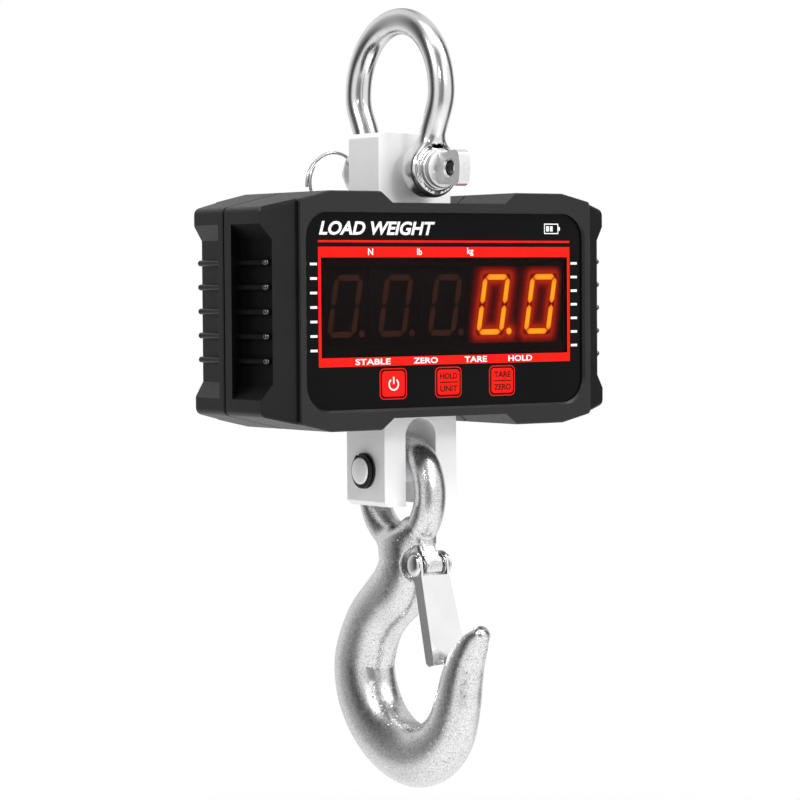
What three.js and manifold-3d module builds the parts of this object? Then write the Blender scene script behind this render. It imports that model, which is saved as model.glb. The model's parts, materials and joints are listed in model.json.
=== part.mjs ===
// Hanging crane scale: bow shackle, load cell block, two-part housing with a five-digit display,
// and a forged hook with a sprung latch.
// Millimetres, +Z up, the display faces -Y, +X is to the right of a reader of the display.
// Origin: the inner crown of the shackle bow, where the scale hangs.
import * as THREE from "three";
import { mergeVertices } from "three/addons/utils/BufferGeometryUtils.js";
import Module from "manifold-3d";

const wasm = await Module();
wasm.setup();

// ---------------------------------------------------------------- driving dimensions

const GAP = 0.3; // between touching pieces

// Heights of the three stations below the hanging point
const SHACKLE_PIN_Z = -67.9;
const CASE_MID_Z = -136.8;
const HOOK_PIN_Z = -216.6;

// Shackle
const ROD_R = 6.5;
const BOW_R = 35.7;
const BOW_MID_Z = ROD_R - BOW_R;
const EYE_Y = 25.8;
const EYE_HALF = 6.5;
const EYE_R = 13.9;
const PIN_R = 6.1;
const PIN_COLLAR_R = 10;
const PIN_TAB_HALF = 3.2;
const PIN_TAIL_Y = 43;
const PIN_TAB_Y = -38;

// Safety ring through the pin's tail
const RING_Y = 38;
const RING_R = 15;
const RING_WIRE_R = 0.9;
const RING_SAG = 0.6; // how far the wire bows out inside its straight hole
const RING_LEAN = THREE.MathUtils.degToRad(18.5);

// Load cell block
const LUG_HALF_X = 21.8;
const LUG_HALF_Y = 13.1;
const LUG_TOP_Z = -49.5;
const CLEVIS_HALF_X = 22;
const CLEVIS_HALF_Y = 16.5;
const CLEVIS_TOP_Z = -180;
const BLOCK_BOTTOM_Z = -234.1;
const BLOCK_CHAMFER = 2.3;
const SLOT_HALF = 9.1;
const SLOT_TOP_Z = -190.4;
const HOOK_PIN_R = 6.6;
const HOOK_PIN_HALF = 27;
const CELL_SCREW_X = 13;
const CELL_SCREW_Z = CASE_MID_Z + 34;

// Housing
const CASE_HALF_H = 57.4;
const BUMPER_HALF_W = 104;
const PLATE_HALF_W = 88;
const SHOULDER_X = 70;
const SHOULDER_SLOPE = 0.232;
const FRONT_Y = -42;
const FRONT_FLARE_Y = -38.4;
const FRONT_BUMPER_Y = -32.4;
const REAR_BUMPER_Y = 27;
const REAR_FLARE_Y = 31.4;
const REAR_Y = 34;
const FRONT_WALL_Y = -35.4;
const REAR_WALL_Y = 29;
const NOTCH_DEPTH = 5.5;
const NOTCH_TOP_HALF = 41;
const NOTCH_FLOOR_HALF = 34;
const WAIST_HALF_W = 98.5;
const WAIST_HALF_H = 34.2;
const GRIP_HALF_H = 41.7;
const GRIP_FRONT_Y = -7;
const GRIP_REAR_Y = 4.6;
const RIB_PITCH = 11.7;
const RIB_COUNT = 5;
const RIB_HALF = 1.45;
const RIB_TIP_X = 101.5;
const SCREW_X = 82;
const SCREW_Z = 42;

// Display face
const LABEL_HALF_W = 83;
const LABEL_HALF_H = 46.9;
const LABEL_R = 12.5;
const LABEL_Y = -39.9;
const LABEL_BACK_Y = -38.7;
const RECESS_Y = LABEL_BACK_Y + GAP;
const WINDOW_HALF_W = 74.5;
const WINDOW_HALF_H = 23.9;
const WINDOW_Z = CASE_MID_Z + 1.65;
const DIGIT_Z = CASE_MID_Z + 2.3;
const DIGIT_PITCH = 29.6;
const DIGIT_COUNT = 5;
const DIGIT_HALF_W = 8.4;
const DIGIT_HALF_H = 15;
const DIGIT_SLANT = Math.tan(THREE.MathUtils.degToRad(9.7));
const SEGMENT_W = 2.9;
const SEGMENT_GAP = 0.35;
const BUTTON_Z = CASE_MID_Z - 35.4;
const BUTTON_PITCH = 33;
const BUTTON_HALF_W = 6.7;
const BUTTON_HALF_H = 6.2;
const BOARD_Y = -27.7;

// Hook, measured from the hook pin: Y, height, half width in the hook's plane, half thickness in X
const HOOK_EYE_DROP = 10.3;
const HOOK_EYE_HOLE_R = 16.9;
const HOOK_EYE_THIN = 6.3;
const HOOK_EYE_THICK = 8;
const HOOK_EYE_HALF = 8;
const HOOK_STATIONS = [
  [-1, -31.5, 14.5, 9.5],
  [-3.5, -39.5, 17, 11.5],
  [-4.5, -48, 16.5, 12],
  [2, -59.5, 16.5, 12.3],
  [13.5, -69, 15.5, 12.5],
  [24, -79, 16, 12.8],
  [31.3, -92, 17.2, 13],
  [34, -103, 17.8, 13.2],
  [30.5, -117, 18, 13.3],
  [20, -130.6, 17.1, 13],
  [4.5, -139.9, 16.2, 12.8],
  [-13, -142.8, 15.8, 12.4],
  [-29, -137.4, 15, 11.7],
  [-40, -127, 13.8, 10.8],
  [-46.3, -112.5, 12.3, 10],
  [-49.5, -101, 11.2, 9.2],
  [-54, -90.5, 9.3, 8.2],
  [-60, -82, 7, 6.8],
  [-65.5, -77, 4.2, 4.6],
];

// Latch, in its own frame: along its length from the pivot, and forward of the pivot
const LATCH_Y = -23;
const LATCH_Z = HOOK_PIN_Z - 46.4;
const LATCH_LEAN = THREE.MathUtils.degToRad(16.4);
const LATCH_LENGTH = 51;
const LATCH_TAPER = 0.04; // how much wider each side grows along the length
const LATCH_FRONT = 3.5;
const LATCH_BACK = -3;
const LATCH_EAR_R = 6.8;
const LATCH_SHEET = 1.2;
const LATCH_HALF_W = 8.5;
const BOSS_HALF = 5.4;
const BOSS_R = 5.7;
const RIVET_R = 2.6;
const RIVET_HEAD_R = 5.6;

// ---------------------------------------------------------------- solids and shapes

const vector = (x, y, z) => new THREE.Vector3(x, y, z);

// A closed manifold solid from a geometry, with its faces turned outwards.
function solidOf(geometry) {
  const bare = new THREE.BufferGeometry();
  bare.setAttribute("position", geometry.getAttribute("position"));
  bare.setIndex(geometry.index);
  const merged = mergeVertices(bare, 1e-4);
  const corners = merged.index.array;
  const kept = [];
  for (let i = 0; i < corners.length; i += 3) {
    const [a, b, c] = [corners[i], corners[i + 1], corners[i + 2]];
    if (a !== b && b !== c && c !== a) kept.push(a, b, c);
  }
  const vertProperties = new Float32Array(merged.attributes.position.array);
  const build = (triangles) =>
    new wasm.Manifold(new wasm.Mesh({ numProp: 3, vertProperties, triVerts: new Uint32Array(triangles) }));
  const made = build(kept);
  return made.volume() > 0 ? made : build(kept.reverse());
}

function geometryOf(solid) {
  const mesh = solid.getMesh();
  const positions = new Float32Array(mesh.numVert * 3);
  for (let i = 0; i < mesh.numVert; i++) {
    positions.set(mesh.vertProperties.subarray(i * mesh.numProp, i * mesh.numProp + 3), i * 3);
  }
  const indexed = new THREE.BufferGeometry();
  indexed.setAttribute("position", new THREE.BufferAttribute(positions, 3));
  indexed.setIndex(new THREE.BufferAttribute(mesh.triVerts, 1));
  const flat = indexed.toNonIndexed();
  flat.computeVertexNormals();
  return flat;
}

const join = (first, ...others) => others.reduce((sum, next) => sum.add(next), first);
const cut = (first, ...others) => others.reduce((rest, next) => rest.subtract(next), first);

// Skin through rings of equal point counts: either closed on itself or capped at both ends.
function loft(rings, closed = false) {
  const count = rings[0].length;
  const points = rings.flat();
  const index = [];
  const spans = closed ? rings.length : rings.length - 1;
  for (let i = 0; i < spans; i++) {
    const near = i * count;
    const far = ((i + 1) % rings.length) * count;
    for (let j = 0; j < count; j++) {
      const k = (j + 1) % count;
      index.push(near + j, far + j, far + k, near + j, far + k, near + k);
    }
  }
  const cap = (start, turned) => {
    const middle = vector(0, 0, 0);
    for (let j = 0; j < count; j++) middle.addScaledVector(points[start + j], 1 / count);
    const centre = points.push(middle) - 1;
    for (let j = 0; j < count; j++) {
      const edge = [start + j, start + ((j + 1) % count)];
      if (turned) edge.reverse();
      index.push(centre, ...edge);
    }
  };
  if (!closed) {
    cap(0, false);
    cap((rings.length - 1) * count, true);
  }
  const geometry = new THREE.BufferGeometry().setFromPoints(points);
  geometry.setIndex(index);
  return solidOf(geometry);
}

// Elliptical ring across a path in the YZ plane.
function ringAcross(y, z, tangentY, tangentZ, halfWidth, halfThickness, sides) {
  const ring = [];
  for (let j = 0; j < sides; j++) {
    const turn = (2 * Math.PI * (j + 0.5)) / sides;
    const across = halfWidth * Math.cos(turn);
    ring.push(vector(halfThickness * Math.sin(turn), y - tangentZ * across, z + tangentY * across));
  }
  return ring;
}

function shapeOf(points) {
  return new THREE.Shape(points.map(([x, y]) => new THREE.Vector2(x, y)));
}

function extruded(shape, depth) {
  return new THREE.ExtrudeGeometry(shape, { depth, bevelEnabled: false, curveSegments: 4 });
}

const OUTLINE_YZ = new THREE.Matrix4().makeBasis(vector(0, 1, 0), vector(0, 0, 1), vector(1, 0, 0));
const OUTLINE_XZ = new THREE.Matrix4().makeBasis(vector(1, 0, 0), vector(0, 0, 1), vector(0, -1, 0));

// Prisms: an outline in the plane across the axis, extruded from one coordinate to the other.
const prismX = (shape, from, to) =>
  solidOf(extruded(shape, to - from).applyMatrix4(OUTLINE_YZ).translate(from, 0, 0));
const prismY = (shape, from, to) =>
  solidOf(extruded(shape, to - from).applyMatrix4(OUTLINE_XZ).translate(0, to, 0));

const box = (x0, x1, y0, y1, z0, z1) =>
  solidOf(
    new THREE.BoxGeometry(x1 - x0, y1 - y0, z1 - z0).translate((x0 + x1) / 2, (y0 + y1) / 2, (z0 + z1) / 2),
  );

function circle(radius, x, y, sides = 20) {
  const points = [];
  for (let i = 0; i < sides; i++) {
    const turn = (2 * Math.PI * i) / sides;
    points.push([x + radius * Math.cos(turn), y + radius * Math.sin(turn)]);
  }
  return shapeOf(points);
}

const rodX = (radius, from, to, y, z, sides) => prismX(circle(radius, y, z, sides), from, to);
const rodY = (radius, from, to, x, z, sides) => prismY(circle(radius, x, z, sides), from, to);

// A turned piece about the line parallel to Y through (x, z); profile rows are radius, y.
function turnedY(profile, x, z, segments = 20) {
  const points = profile.map(([radius, y]) => new THREE.Vector2(radius, y));
  return solidOf(new THREE.LatheGeometry(points, segments).translate(x, 0, z));
}

// The same about a line parallel to X through (y, z); profile rows are radius, x.
function turnedX(profile, y, z, segments = 20) {
  const points = profile.map(([radius, x]) => new THREE.Vector2(radius, x));
  return solidOf(new THREE.LatheGeometry(points, segments).rotateZ(-Math.PI / 2).translate(0, y, z));
}

function roundedRectangle(x, z, halfW, halfH, radius) {
  const shape = new THREE.Shape();
  shape.moveTo(x - halfW + radius, z - halfH);
  shape.lineTo(x + halfW - radius, z - halfH);
  shape.absarc(x + halfW - radius, z - halfH + radius, radius, -Math.PI / 2, 0, false);
  shape.absarc(x + halfW - radius, z + halfH - radius, radius, 0, Math.PI / 2, false);
  shape.absarc(x - halfW + radius, z + halfH - radius, radius, Math.PI / 2, Math.PI, false);
  shape.absarc(x - halfW + radius, z - halfH + radius, radius, Math.PI, 1.5 * Math.PI, false);
  return shape;
}

// Round wire along a curve.
function wire(curve, radius, steps, sides, closed = false) {
  const frames = curve.computeFrenetFrames(steps, closed);
  const rings = [];
  for (let i = 0; i < steps + (closed ? 0 : 1); i++) {
    const centre = curve.getPointAt(i / steps);
    const ring = [];
    for (let j = 0; j < sides; j++) {
      const turn = (2 * Math.PI * j) / sides;
      const point = centre.clone();
      point.addScaledVector(frames.normals[i], radius * Math.cos(turn));
      point.addScaledVector(frames.binormals[i], radius * Math.sin(turn));
      ring.push(point);
    }
    rings.push(ring);
  }
  return loft(rings, closed);
}

// ---------------------------------------------------------------- materials and scene

const part = new THREE.Group();

function material(color, roughness, metalness) {
  return new THREE.MeshStandardMaterial({ color, roughness, metalness });
}

function place(name, solid, look) {
  const mesh = new THREE.Mesh(geometryOf(solid), look());
  mesh.name = name;
  part.add(mesh);
}

const polishedSteel = () => material("#d5d7da", 0.12, 1);
const forgedZinc = () => material("#c2c3c3", 0.45, 0.9);
const machinedAlloy = () => material("#e2e3e5", 0.3, 0.9);
const blackOxide = () => material("#17181a", 0.45, 0.7);
const springSteel = () => material("#8b8d90", 0.3, 0.9);
const blackHousing = () => material("#262729", 0.6, 0.1);
const blackRubber = () => material("#141414", 0.85, 0);
const glossBlack = () => material("#0b0b0c", 0.12, 0);
const smokedLens = () => material("#1c0b09", 0.1, 0);
const unlitDigit = () => material("#2a1412", 0.5, 0);
const redKey = () => material("#f5190f", 0.4, 0);
const circuitBoard = () => material("#1f5a34", 0.6, 0);
const batteryWrap = () => material("#3b4a66", 0.5, 0);

// ---------------------------------------------------------------- shackle

// Right-hand half of the bow's centreline, from inside the eye up to the crown.
function bowCentreline() {
  const leg = new THREE.CubicBezierCurve(
    new THREE.Vector2(EYE_Y, SHACKLE_PIN_Z + 7),
    new THREE.Vector2(EYE_Y, SHACKLE_PIN_Z + 23),
    new THREE.Vector2(BOW_R, SHACKLE_PIN_Z + 27),
    new THREE.Vector2(BOW_R, BOW_MID_Z),
  );
  const points = leg.getPoints(8);
  const arcSteps = 9;
  for (let i = 1; i <= arcSteps; i++) {
    const turn = (Math.PI / 2) * (i / arcSteps);
    points.push(new THREE.Vector2(BOW_R * Math.cos(turn), BOW_MID_Z + BOW_R * Math.sin(turn)));
  }
  return points;
}

function shackleBow() {
  const half = bowCentreline();
  const mirrored = half
    .slice(0, -1)
    .reverse()
    .map((p) => new THREE.Vector2(-p.x, p.y));
  const path = [...half, ...mirrored];
  const rings = path.map((p, i) => {
    const before = path[Math.max(0, i - 1)];
    const after = path[Math.min(path.length - 1, i + 1)];
    const tangent = after.clone().sub(before).normalize();
    return ringAcross(p.x, p.y, tangent.x, tangent.y, ROD_R, ROD_R, 12);
  });
  const round = 2.4;
  const eye = (side) =>
    turnedY(
      [
        [0, side * EYE_Y - EYE_HALF],
        [EYE_R - round, side * EYE_Y - EYE_HALF],
        [EYE_R, side * EYE_Y - EYE_HALF + round],
        [EYE_R, side * EYE_Y + EYE_HALF - round],
        [EYE_R - round, side * EYE_Y + EYE_HALF],
        [0, side * EYE_Y + EYE_HALF],
      ],
      0,
      SHACKLE_PIN_Z,
      24,
    );
  const bore = rodY(PIN_R + GAP, -EYE_Y - 10, EYE_Y + 10, 0, SHACKLE_PIN_Z);
  return cut(join(loft(rings), eye(1), eye(-1)), bore);
}

// The ring's wire runs along this direction where it passes through the pin's tail.
const ringHoleAxis = vector(-Math.sin(RING_LEAN), 0, Math.cos(RING_LEAN));

function shacklePin() {
  const collarBack = -EYE_Y - EYE_HALF - GAP;
  const shaft = turnedY(
    [
      [0, PIN_TAIL_Y],
      [PIN_R - 1.2, PIN_TAIL_Y],
      [PIN_R, PIN_TAIL_Y - 1.2],
      [PIN_R, collarBack],
      [PIN_COLLAR_R - 0.8, collarBack],
      [PIN_COLLAR_R, collarBack - 0.8],
      [PIN_COLLAR_R, PIN_TAB_Y + 0.8],
      [PIN_COLLAR_R - 0.8, PIN_TAB_Y],
      [0, PIN_TAB_Y],
    ],
    0,
    SHACKLE_PIN_Z,
  );
  const outline = new THREE.Shape();
  outline.moveTo(PIN_TAB_Y + 1, SHACKLE_PIN_Z - 7.6);
  outline.lineTo(PIN_TAB_Y + 1, SHACKLE_PIN_Z + 7.6);
  outline.lineTo(-43, SHACKLE_PIN_Z + 7.8);
  outline.lineTo(-49, SHACKLE_PIN_Z + 8.9);
  outline.quadraticCurveTo(-53, SHACKLE_PIN_Z + 8.6, -54.2, SHACKLE_PIN_Z + 4);
  outline.quadraticCurveTo(-54.8, SHACKLE_PIN_Z, -54.2, SHACKLE_PIN_Z - 4);
  outline.quadraticCurveTo(-53, SHACKLE_PIN_Z - 8.6, -49, SHACKLE_PIN_Z - 8.9);
  outline.lineTo(-43, SHACKLE_PIN_Z - 7.8);
  const tab = prismX(outline, -PIN_TAB_HALF, PIN_TAB_HALF);
  const tabHole = rodX(3.8, -10, 10, -45.7, SHACKLE_PIN_Z, 20);
  const ringHoleR = RING_WIRE_R + RING_SAG + GAP;
  const ringHole = solidOf(
    new THREE.CylinderGeometry(ringHoleR, ringHoleR, 30, 12)
      .applyQuaternion(new THREE.Quaternion().setFromUnitVectors(vector(0, 1, 0), ringHoleAxis))
      .translate(0, RING_Y, SHACKLE_PIN_Z),
  );
  return cut(join(shaft, tab), tabHole, ringHole);
}

function safetyRing() {
  const reach = RING_R - RING_SAG;
  const centreX = -reach * Math.cos(RING_LEAN);
  const centreZ = SHACKLE_PIN_Z - reach * Math.sin(RING_LEAN);
  return solidOf(
    new THREE.TorusGeometry(RING_R, RING_WIRE_R, 6, 28)
      .rotateX(Math.PI / 2)
      .rotateY(RING_LEAN)
      .translate(centreX, RING_Y, centreZ),
  );
}

place("shackle_bow", shackleBow(), polishedSteel);
place("shackle_pin", shacklePin(), polishedSteel);
place("safety_ring", safetyRing(), springSteel);

// ---------------------------------------------------------------- load cell

function loadCell() {
  const c = BLOCK_CHAMFER;
  const lug = prismY(
    shapeOf([
      [-LUG_HALF_X, CLEVIS_TOP_Z],
      [LUG_HALF_X, CLEVIS_TOP_Z],
      [LUG_HALF_X, LUG_TOP_Z - c],
      [LUG_HALF_X - c, LUG_TOP_Z],
      [-LUG_HALF_X + c, LUG_TOP_Z],
      [-LUG_HALF_X, LUG_TOP_Z - c],
    ]),
    -LUG_HALF_Y,
    LUG_HALF_Y,
  );
  const clevis = prismY(
    shapeOf([
      [-CLEVIS_HALF_X, CLEVIS_TOP_Z],
      [-CLEVIS_HALF_X, BLOCK_BOTTOM_Z + c],
      [-CLEVIS_HALF_X + c, BLOCK_BOTTOM_Z],
      [CLEVIS_HALF_X - c, BLOCK_BOTTOM_Z],
      [CLEVIS_HALF_X, BLOCK_BOTTOM_Z + c],
      [CLEVIS_HALF_X, CLEVIS_TOP_Z],
    ]),
    -CLEVIS_HALF_Y,
    CLEVIS_HALF_Y,
  );
  const slot = new THREE.Shape();
  slot.moveTo(-SLOT_HALF, BLOCK_BOTTOM_Z - 5);
  slot.lineTo(SLOT_HALF, BLOCK_BOTTOM_Z - 5);
  slot.absarc(0, SLOT_TOP_Z - SLOT_HALF, SLOT_HALF, 0, Math.PI, false);
  const lugBore = rodY(PIN_R + GAP, -30, 30, 0, SHACKLE_PIN_Z);
  const pinBore = rodX(HOOK_PIN_R + GAP, -30, 30, 0, HOOK_PIN_Z);
  // Two slits from opposite sides leave an S-shaped beam around the gauge hole.
  const slitHalf = 1.5;
  const slitReach = 30;
  const slitEnd = 12;
  const upperZ = CASE_MID_Z + 16;
  const lowerZ = CASE_MID_Z - 16;
  const upperSlit = box(-slitEnd, slitReach, -20, 20, upperZ - slitHalf, upperZ + slitHalf);
  const lowerSlit = box(-slitReach, slitEnd, -20, 20, lowerZ - slitHalf, lowerZ + slitHalf);
  const gaugeHole = rodY(9, -20, 20, 0, CASE_MID_Z, 16);
  const screwHole = (side) => rodY(1.9, 0, 20, side * CELL_SCREW_X, CELL_SCREW_Z, 8);
  return cut(
    join(lug, clevis),
    prismY(slot, -30, 30),
    lugBore,
    pinBore,
    upperSlit,
    lowerSlit,
    gaugeHole,
    screwHole(1),
    screwHole(-1),
  );
}

// Rubber cap over one end of the gauge hole.
function gaugeCover(side) {
  return turnedY(
    [
      [0, side * 16],
      [10.6, side * 16],
      [11.4, side * 13.4],
      [0, side * 13.4],
    ],
    0,
    CASE_MID_Z,
    16,
  );
}

place("load_cell", loadCell(), machinedAlloy);
place("gauge_cover_front", gaugeCover(-1), blackRubber);
place("gauge_cover_rear", gaugeCover(1), blackRubber);

// ---------------------------------------------------------------- hook pin and its retainers

const GROOVE_X = 24.4;
const GROOVE_HALF = 0.7;
const GROOVE_R = 5;

function hookPin() {
  const half = [
    [HOOK_PIN_R, GROOVE_X - GROOVE_HALF],
    [GROOVE_R, GROOVE_X - GROOVE_HALF],
    [GROOVE_R, GROOVE_X + GROOVE_HALF],
    [HOOK_PIN_R, GROOVE_X + GROOVE_HALF],
    [HOOK_PIN_R, HOOK_PIN_HALF - 0.5],
    [HOOK_PIN_R - 0.5, HOOK_PIN_HALF],
    [0, HOOK_PIN_HALF],
  ];
  const mirrored = half.map(([radius, x]) => [radius, -x]).reverse();
  return turnedX([...mirrored, ...half], 0, HOOK_PIN_Z);
}

function retainingWasher(side) {
  const near = side * (CLEVIS_HALF_X + GAP);
  const far = side * (CLEVIS_HALF_X + GAP + 1);
  const inner = HOOK_PIN_R + GAP;
  const outer = 8.9;
  const profile = [
    [inner, near],
    [outer, near],
    [outer, far],
    [inner, far],
    [inner, near],
  ];
  return turnedX(profile, 0, HOOK_PIN_Z);
}

// C-shaped snap ring in the pin's groove, open upwards and to the back.
function snapRing(side) {
  const outer = 8.7;
  const inner = GROOVE_R + GAP;
  const gapHalf = 0.55;
  const open = THREE.MathUtils.degToRad(70);
  const shape = new THREE.Shape();
  shape.absarc(0, HOOK_PIN_Z, outer, open + gapHalf, open - gapHalf + 2 * Math.PI, false);
  shape.absarc(0, HOOK_PIN_Z, inner, open - gapHalf + 2 * Math.PI, open + gapHalf, true);
  const thickness = 0.4;
  return prismX(shape, side * GROOVE_X - thickness, side * GROOVE_X + thickness);
}

place("hook_pin", hookPin(), polishedSteel);
const SIDES = [
  ["left", -1],
  ["right", 1],
];
for (const [name, side] of SIDES) {
  place("pin_washer_" + name, retainingWasher(side), blackOxide);
  place("pin_clip_" + name, snapRing(side), blackOxide);
}

// ---------------------------------------------------------------- housing

// Front view outline of the housing at one depth, as a ring of points.
function caseRing(y, halfW, inset, radius) {
  const arcSteps = 3;
  const slopeAngle = Math.atan(SHOULDER_SLOPE);
  const centreX = halfW - radius;
  const centreZ =
    CASE_HALF_H - inset - SHOULDER_SLOPE * (centreX - SHOULDER_X) - radius / Math.cos(slopeAngle);
  const quarter = [[SHOULDER_X, CASE_HALF_H - inset]];
  for (let i = 0; i <= arcSteps; i++) {
    const turn = (Math.PI / 2 - slopeAngle) * (1 - i / arcSteps);
    quarter.push([centreX + radius * Math.cos(turn), centreZ + radius * Math.sin(turn)]);
  }
  const right = [...quarter, ...quarter.map(([x, z]) => [x, -z]).reverse()];
  const left = right.map(([x, z]) => [-x, -z]);
  return [...right, ...left].map(([x, z]) => vector(x, y, CASE_MID_Z + z));
}

function cavityShape() {
  const quarter = [
    [NOTCH_FLOOR_HALF + 3, CASE_HALF_H - NOTCH_DEPTH - 3],
    [NOTCH_TOP_HALF + 3.5, CASE_HALF_H - 3],
    [SHOULDER_X - 1, CASE_HALF_H - 3],
    [93, CASE_HALF_H - 3 - SHOULDER_SLOPE * 24],
  ];
  const right = [...quarter, ...quarter.map(([x, z]) => [x, -z]).reverse()];
  const left = right.map(([x, z]) => [-x, -z]);
  return shapeOf([...right, ...left].map(([x, z]) => [x, CASE_MID_Z + z]));
}

// The channel across the housing at the block: side is 1 at the top, -1 at the bottom.
function notch(side) {
  const spread = (NOTCH_TOP_HALF - NOTCH_FLOOR_HALF) / NOTCH_DEPTH;
  const reach = 8;
  const outerHalf = NOTCH_FLOOR_HALF + spread * reach;
  const floor = CASE_MID_Z + side * (CASE_HALF_H - NOTCH_DEPTH);
  const outer = floor + side * reach;
  return prismY(
    shapeOf([
      [-NOTCH_FLOOR_HALF, floor],
      [NOTCH_FLOOR_HALF, floor],
      [outerHalf, outer],
      [-outerHalf, outer],
    ]),
    -60,
    60,
  );
}

function blockPassage() {
  const clearance = 0.6;
  const upper = box(
    -LUG_HALF_X - clearance,
    LUG_HALF_X + clearance,
    -LUG_HALF_Y - clearance,
    LUG_HALF_Y + clearance,
    CASE_MID_Z + 40,
    CASE_MID_Z + 60,
  );
  const lower = box(
    -CLEVIS_HALF_X - clearance,
    CLEVIS_HALF_X + clearance,
    -CLEVIS_HALF_Y - clearance,
    CLEVIS_HALF_Y + clearance,
    CASE_MID_Z - 60,
    CASE_MID_Z - 40,
  );
  return join(upper, lower);
}

// Shallow side recess whose floor is the waist, between two depths.
function gripRecess(side, fromY, toY) {
  const reach = 20;
  const spread = (GRIP_HALF_H - WAIST_HALF_H) / (BUMPER_HALF_W - WAIST_HALF_W);
  const outerH = WAIST_HALF_H + spread * reach;
  return prismY(
    shapeOf([
      [side * WAIST_HALF_W, CASE_MID_Z - WAIST_HALF_H],
      [side * (WAIST_HALF_W + reach), CASE_MID_Z - outerH],
      [side * (WAIST_HALF_W + reach), CASE_MID_Z + outerH],
      [side * WAIST_HALF_W, CASE_MID_Z + WAIST_HALF_H],
    ]),
    fromY,
    toY,
  );
}

function gripRibs(side, fromY, toY) {
  const ribs = [];
  for (let i = 0; i < RIB_COUNT; i++) {
    const z = CASE_MID_Z + RIB_PITCH * (i - (RIB_COUNT - 1) / 2);
    const root = side * (WAIST_HALF_W - 1);
    const tipCentre = side * (RIB_TIP_X - RIB_HALF);
    const points = [[root, z - RIB_HALF]];
    for (let j = 0; j <= 3; j++) {
      const turn = Math.PI * (j / 3 - 0.5);
      points.push([tipCentre + side * RIB_HALF * Math.cos(turn), z + RIB_HALF * Math.sin(turn)]);
    }
    points.push([root, z + RIB_HALF]);
    ribs.push(prismY(shapeOf(points), fromY, toY));
  }
  return ribs;
}

const CORNERS = [
  [1, 1],
  [-1, 1],
  [1, -1],
  [-1, -1],
];
const BUTTONS = [
  ["power", -BUTTON_PITCH],
  ["hold", 0],
  ["tare", BUTTON_PITCH],
];
const SEAM_HALF = 0.6;

function roundedRing(y, halfW, halfH, radius) {
  const points = roundedRectangle(0, CASE_MID_Z, halfW, halfH, radius).getPoints(5);
  points.pop();
  return points.map((p) => vector(p.x, y, p.y));
}

function labelRecess() {
  const lip = 1.1;
  const rim = [
    [FRONT_Y - 1, lip + 1],
    [FRONT_Y, lip],
    [FRONT_Y + lip, 0],
    [RECESS_Y, 0],
  ];
  return loft(
    rim.map(([y, grow]) =>
      roundedRing(y, LABEL_HALF_W + GAP + grow, LABEL_HALF_H + GAP + grow, LABEL_R + grow),
    ),
  );
}

function frontShell() {
  const outer = loft([
    caseRing(FRONT_Y, PLATE_HALF_W - 0.6, 0.6, 2),
    caseRing(FRONT_Y + 0.6, PLATE_HALF_W, 0, 2),
    caseRing(FRONT_Y + 1.3, PLATE_HALF_W, 0, 2),
    caseRing(FRONT_Y + 1.4, PLATE_HALF_W - 0.7, 0, 2),
    caseRing(FRONT_Y + 2.1, PLATE_HALF_W - 0.7, 0, 2),
    caseRing(FRONT_Y + 2.2, PLATE_HALF_W, 0, 2),
    caseRing(FRONT_FLARE_Y, PLATE_HALF_W, 0, 2),
    caseRing(FRONT_BUMPER_Y, BUMPER_HALF_W - 0.5, 0, 3.5),
    caseRing(FRONT_BUMPER_Y + 0.6, BUMPER_HALF_W, 0, 3.5),
    caseRing(-SEAM_HALF - 0.5, BUMPER_HALF_W, 0, 3.5),
    caseRing(-SEAM_HALF, BUMPER_HALF_W - 0.4, 0.4, 3.5),
  ]);
  const bosses = CORNERS.map(([x, z]) =>
    rodY(6, FRONT_WALL_Y - 1, -SEAM_HALF, x * SCREW_X, CASE_MID_Z + z * SCREW_Z, 12),
  );
  const hollow = cut(prismY(cavityShape(), FRONT_WALL_Y, 5), ...bosses);
  const screwHoles = CORNERS.map(([x, z]) =>
    rodY(2.3, -18, 5, x * SCREW_X, CASE_MID_Z + z * SCREW_Z, 8),
  );
  const keyHoles = BUTTONS.map(([, x]) =>
    prismY(roundedRectangle(x, BUTTON_Z, BUTTON_HALF_W + GAP, BUTTON_HALF_H + GAP, 2), -50, -30),
  );
  const displayHole = box(
    -DIGIT_PITCH * 2.5 + 0.1,
    DIGIT_PITCH * 2.5 - 0.1,
    -50,
    -30,
    DIGIT_Z - 19.5,
    DIGIT_Z + 19.5,
  );
  const shell = cut(
    outer,
    hollow,
    notch(1),
    notch(-1),
    blockPassage(),
    gripRecess(1, -60, GRIP_FRONT_Y),
    gripRecess(-1, -60, GRIP_FRONT_Y),
    labelRecess(),
    displayHole,
    ...screwHoles,
    ...keyHoles,
  );
  const ribEnd = FRONT_BUMPER_Y + 1.2;
  return join(
    shell,
    ...gripRibs(1, ribEnd, GRIP_FRONT_Y + 0.5),
    ...gripRibs(-1, ribEnd, GRIP_FRONT_Y + 0.5),
  );
}

const DOOR_X = -57;
const DOOR_Z = CASE_MID_Z - 2;
const DOOR_HALF_W = 27;
const DOOR_HALF_H = 35;
const DOOR_DEPTH = 2.2;
const DOOR_SCREW_Z = [DOOR_Z + 30, DOOR_Z - 30];
const SOCKET_X = 60;
const SOCKET_Z = CASE_MID_Z - 24;
const SCREW_SEAT_Y = 12;

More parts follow.
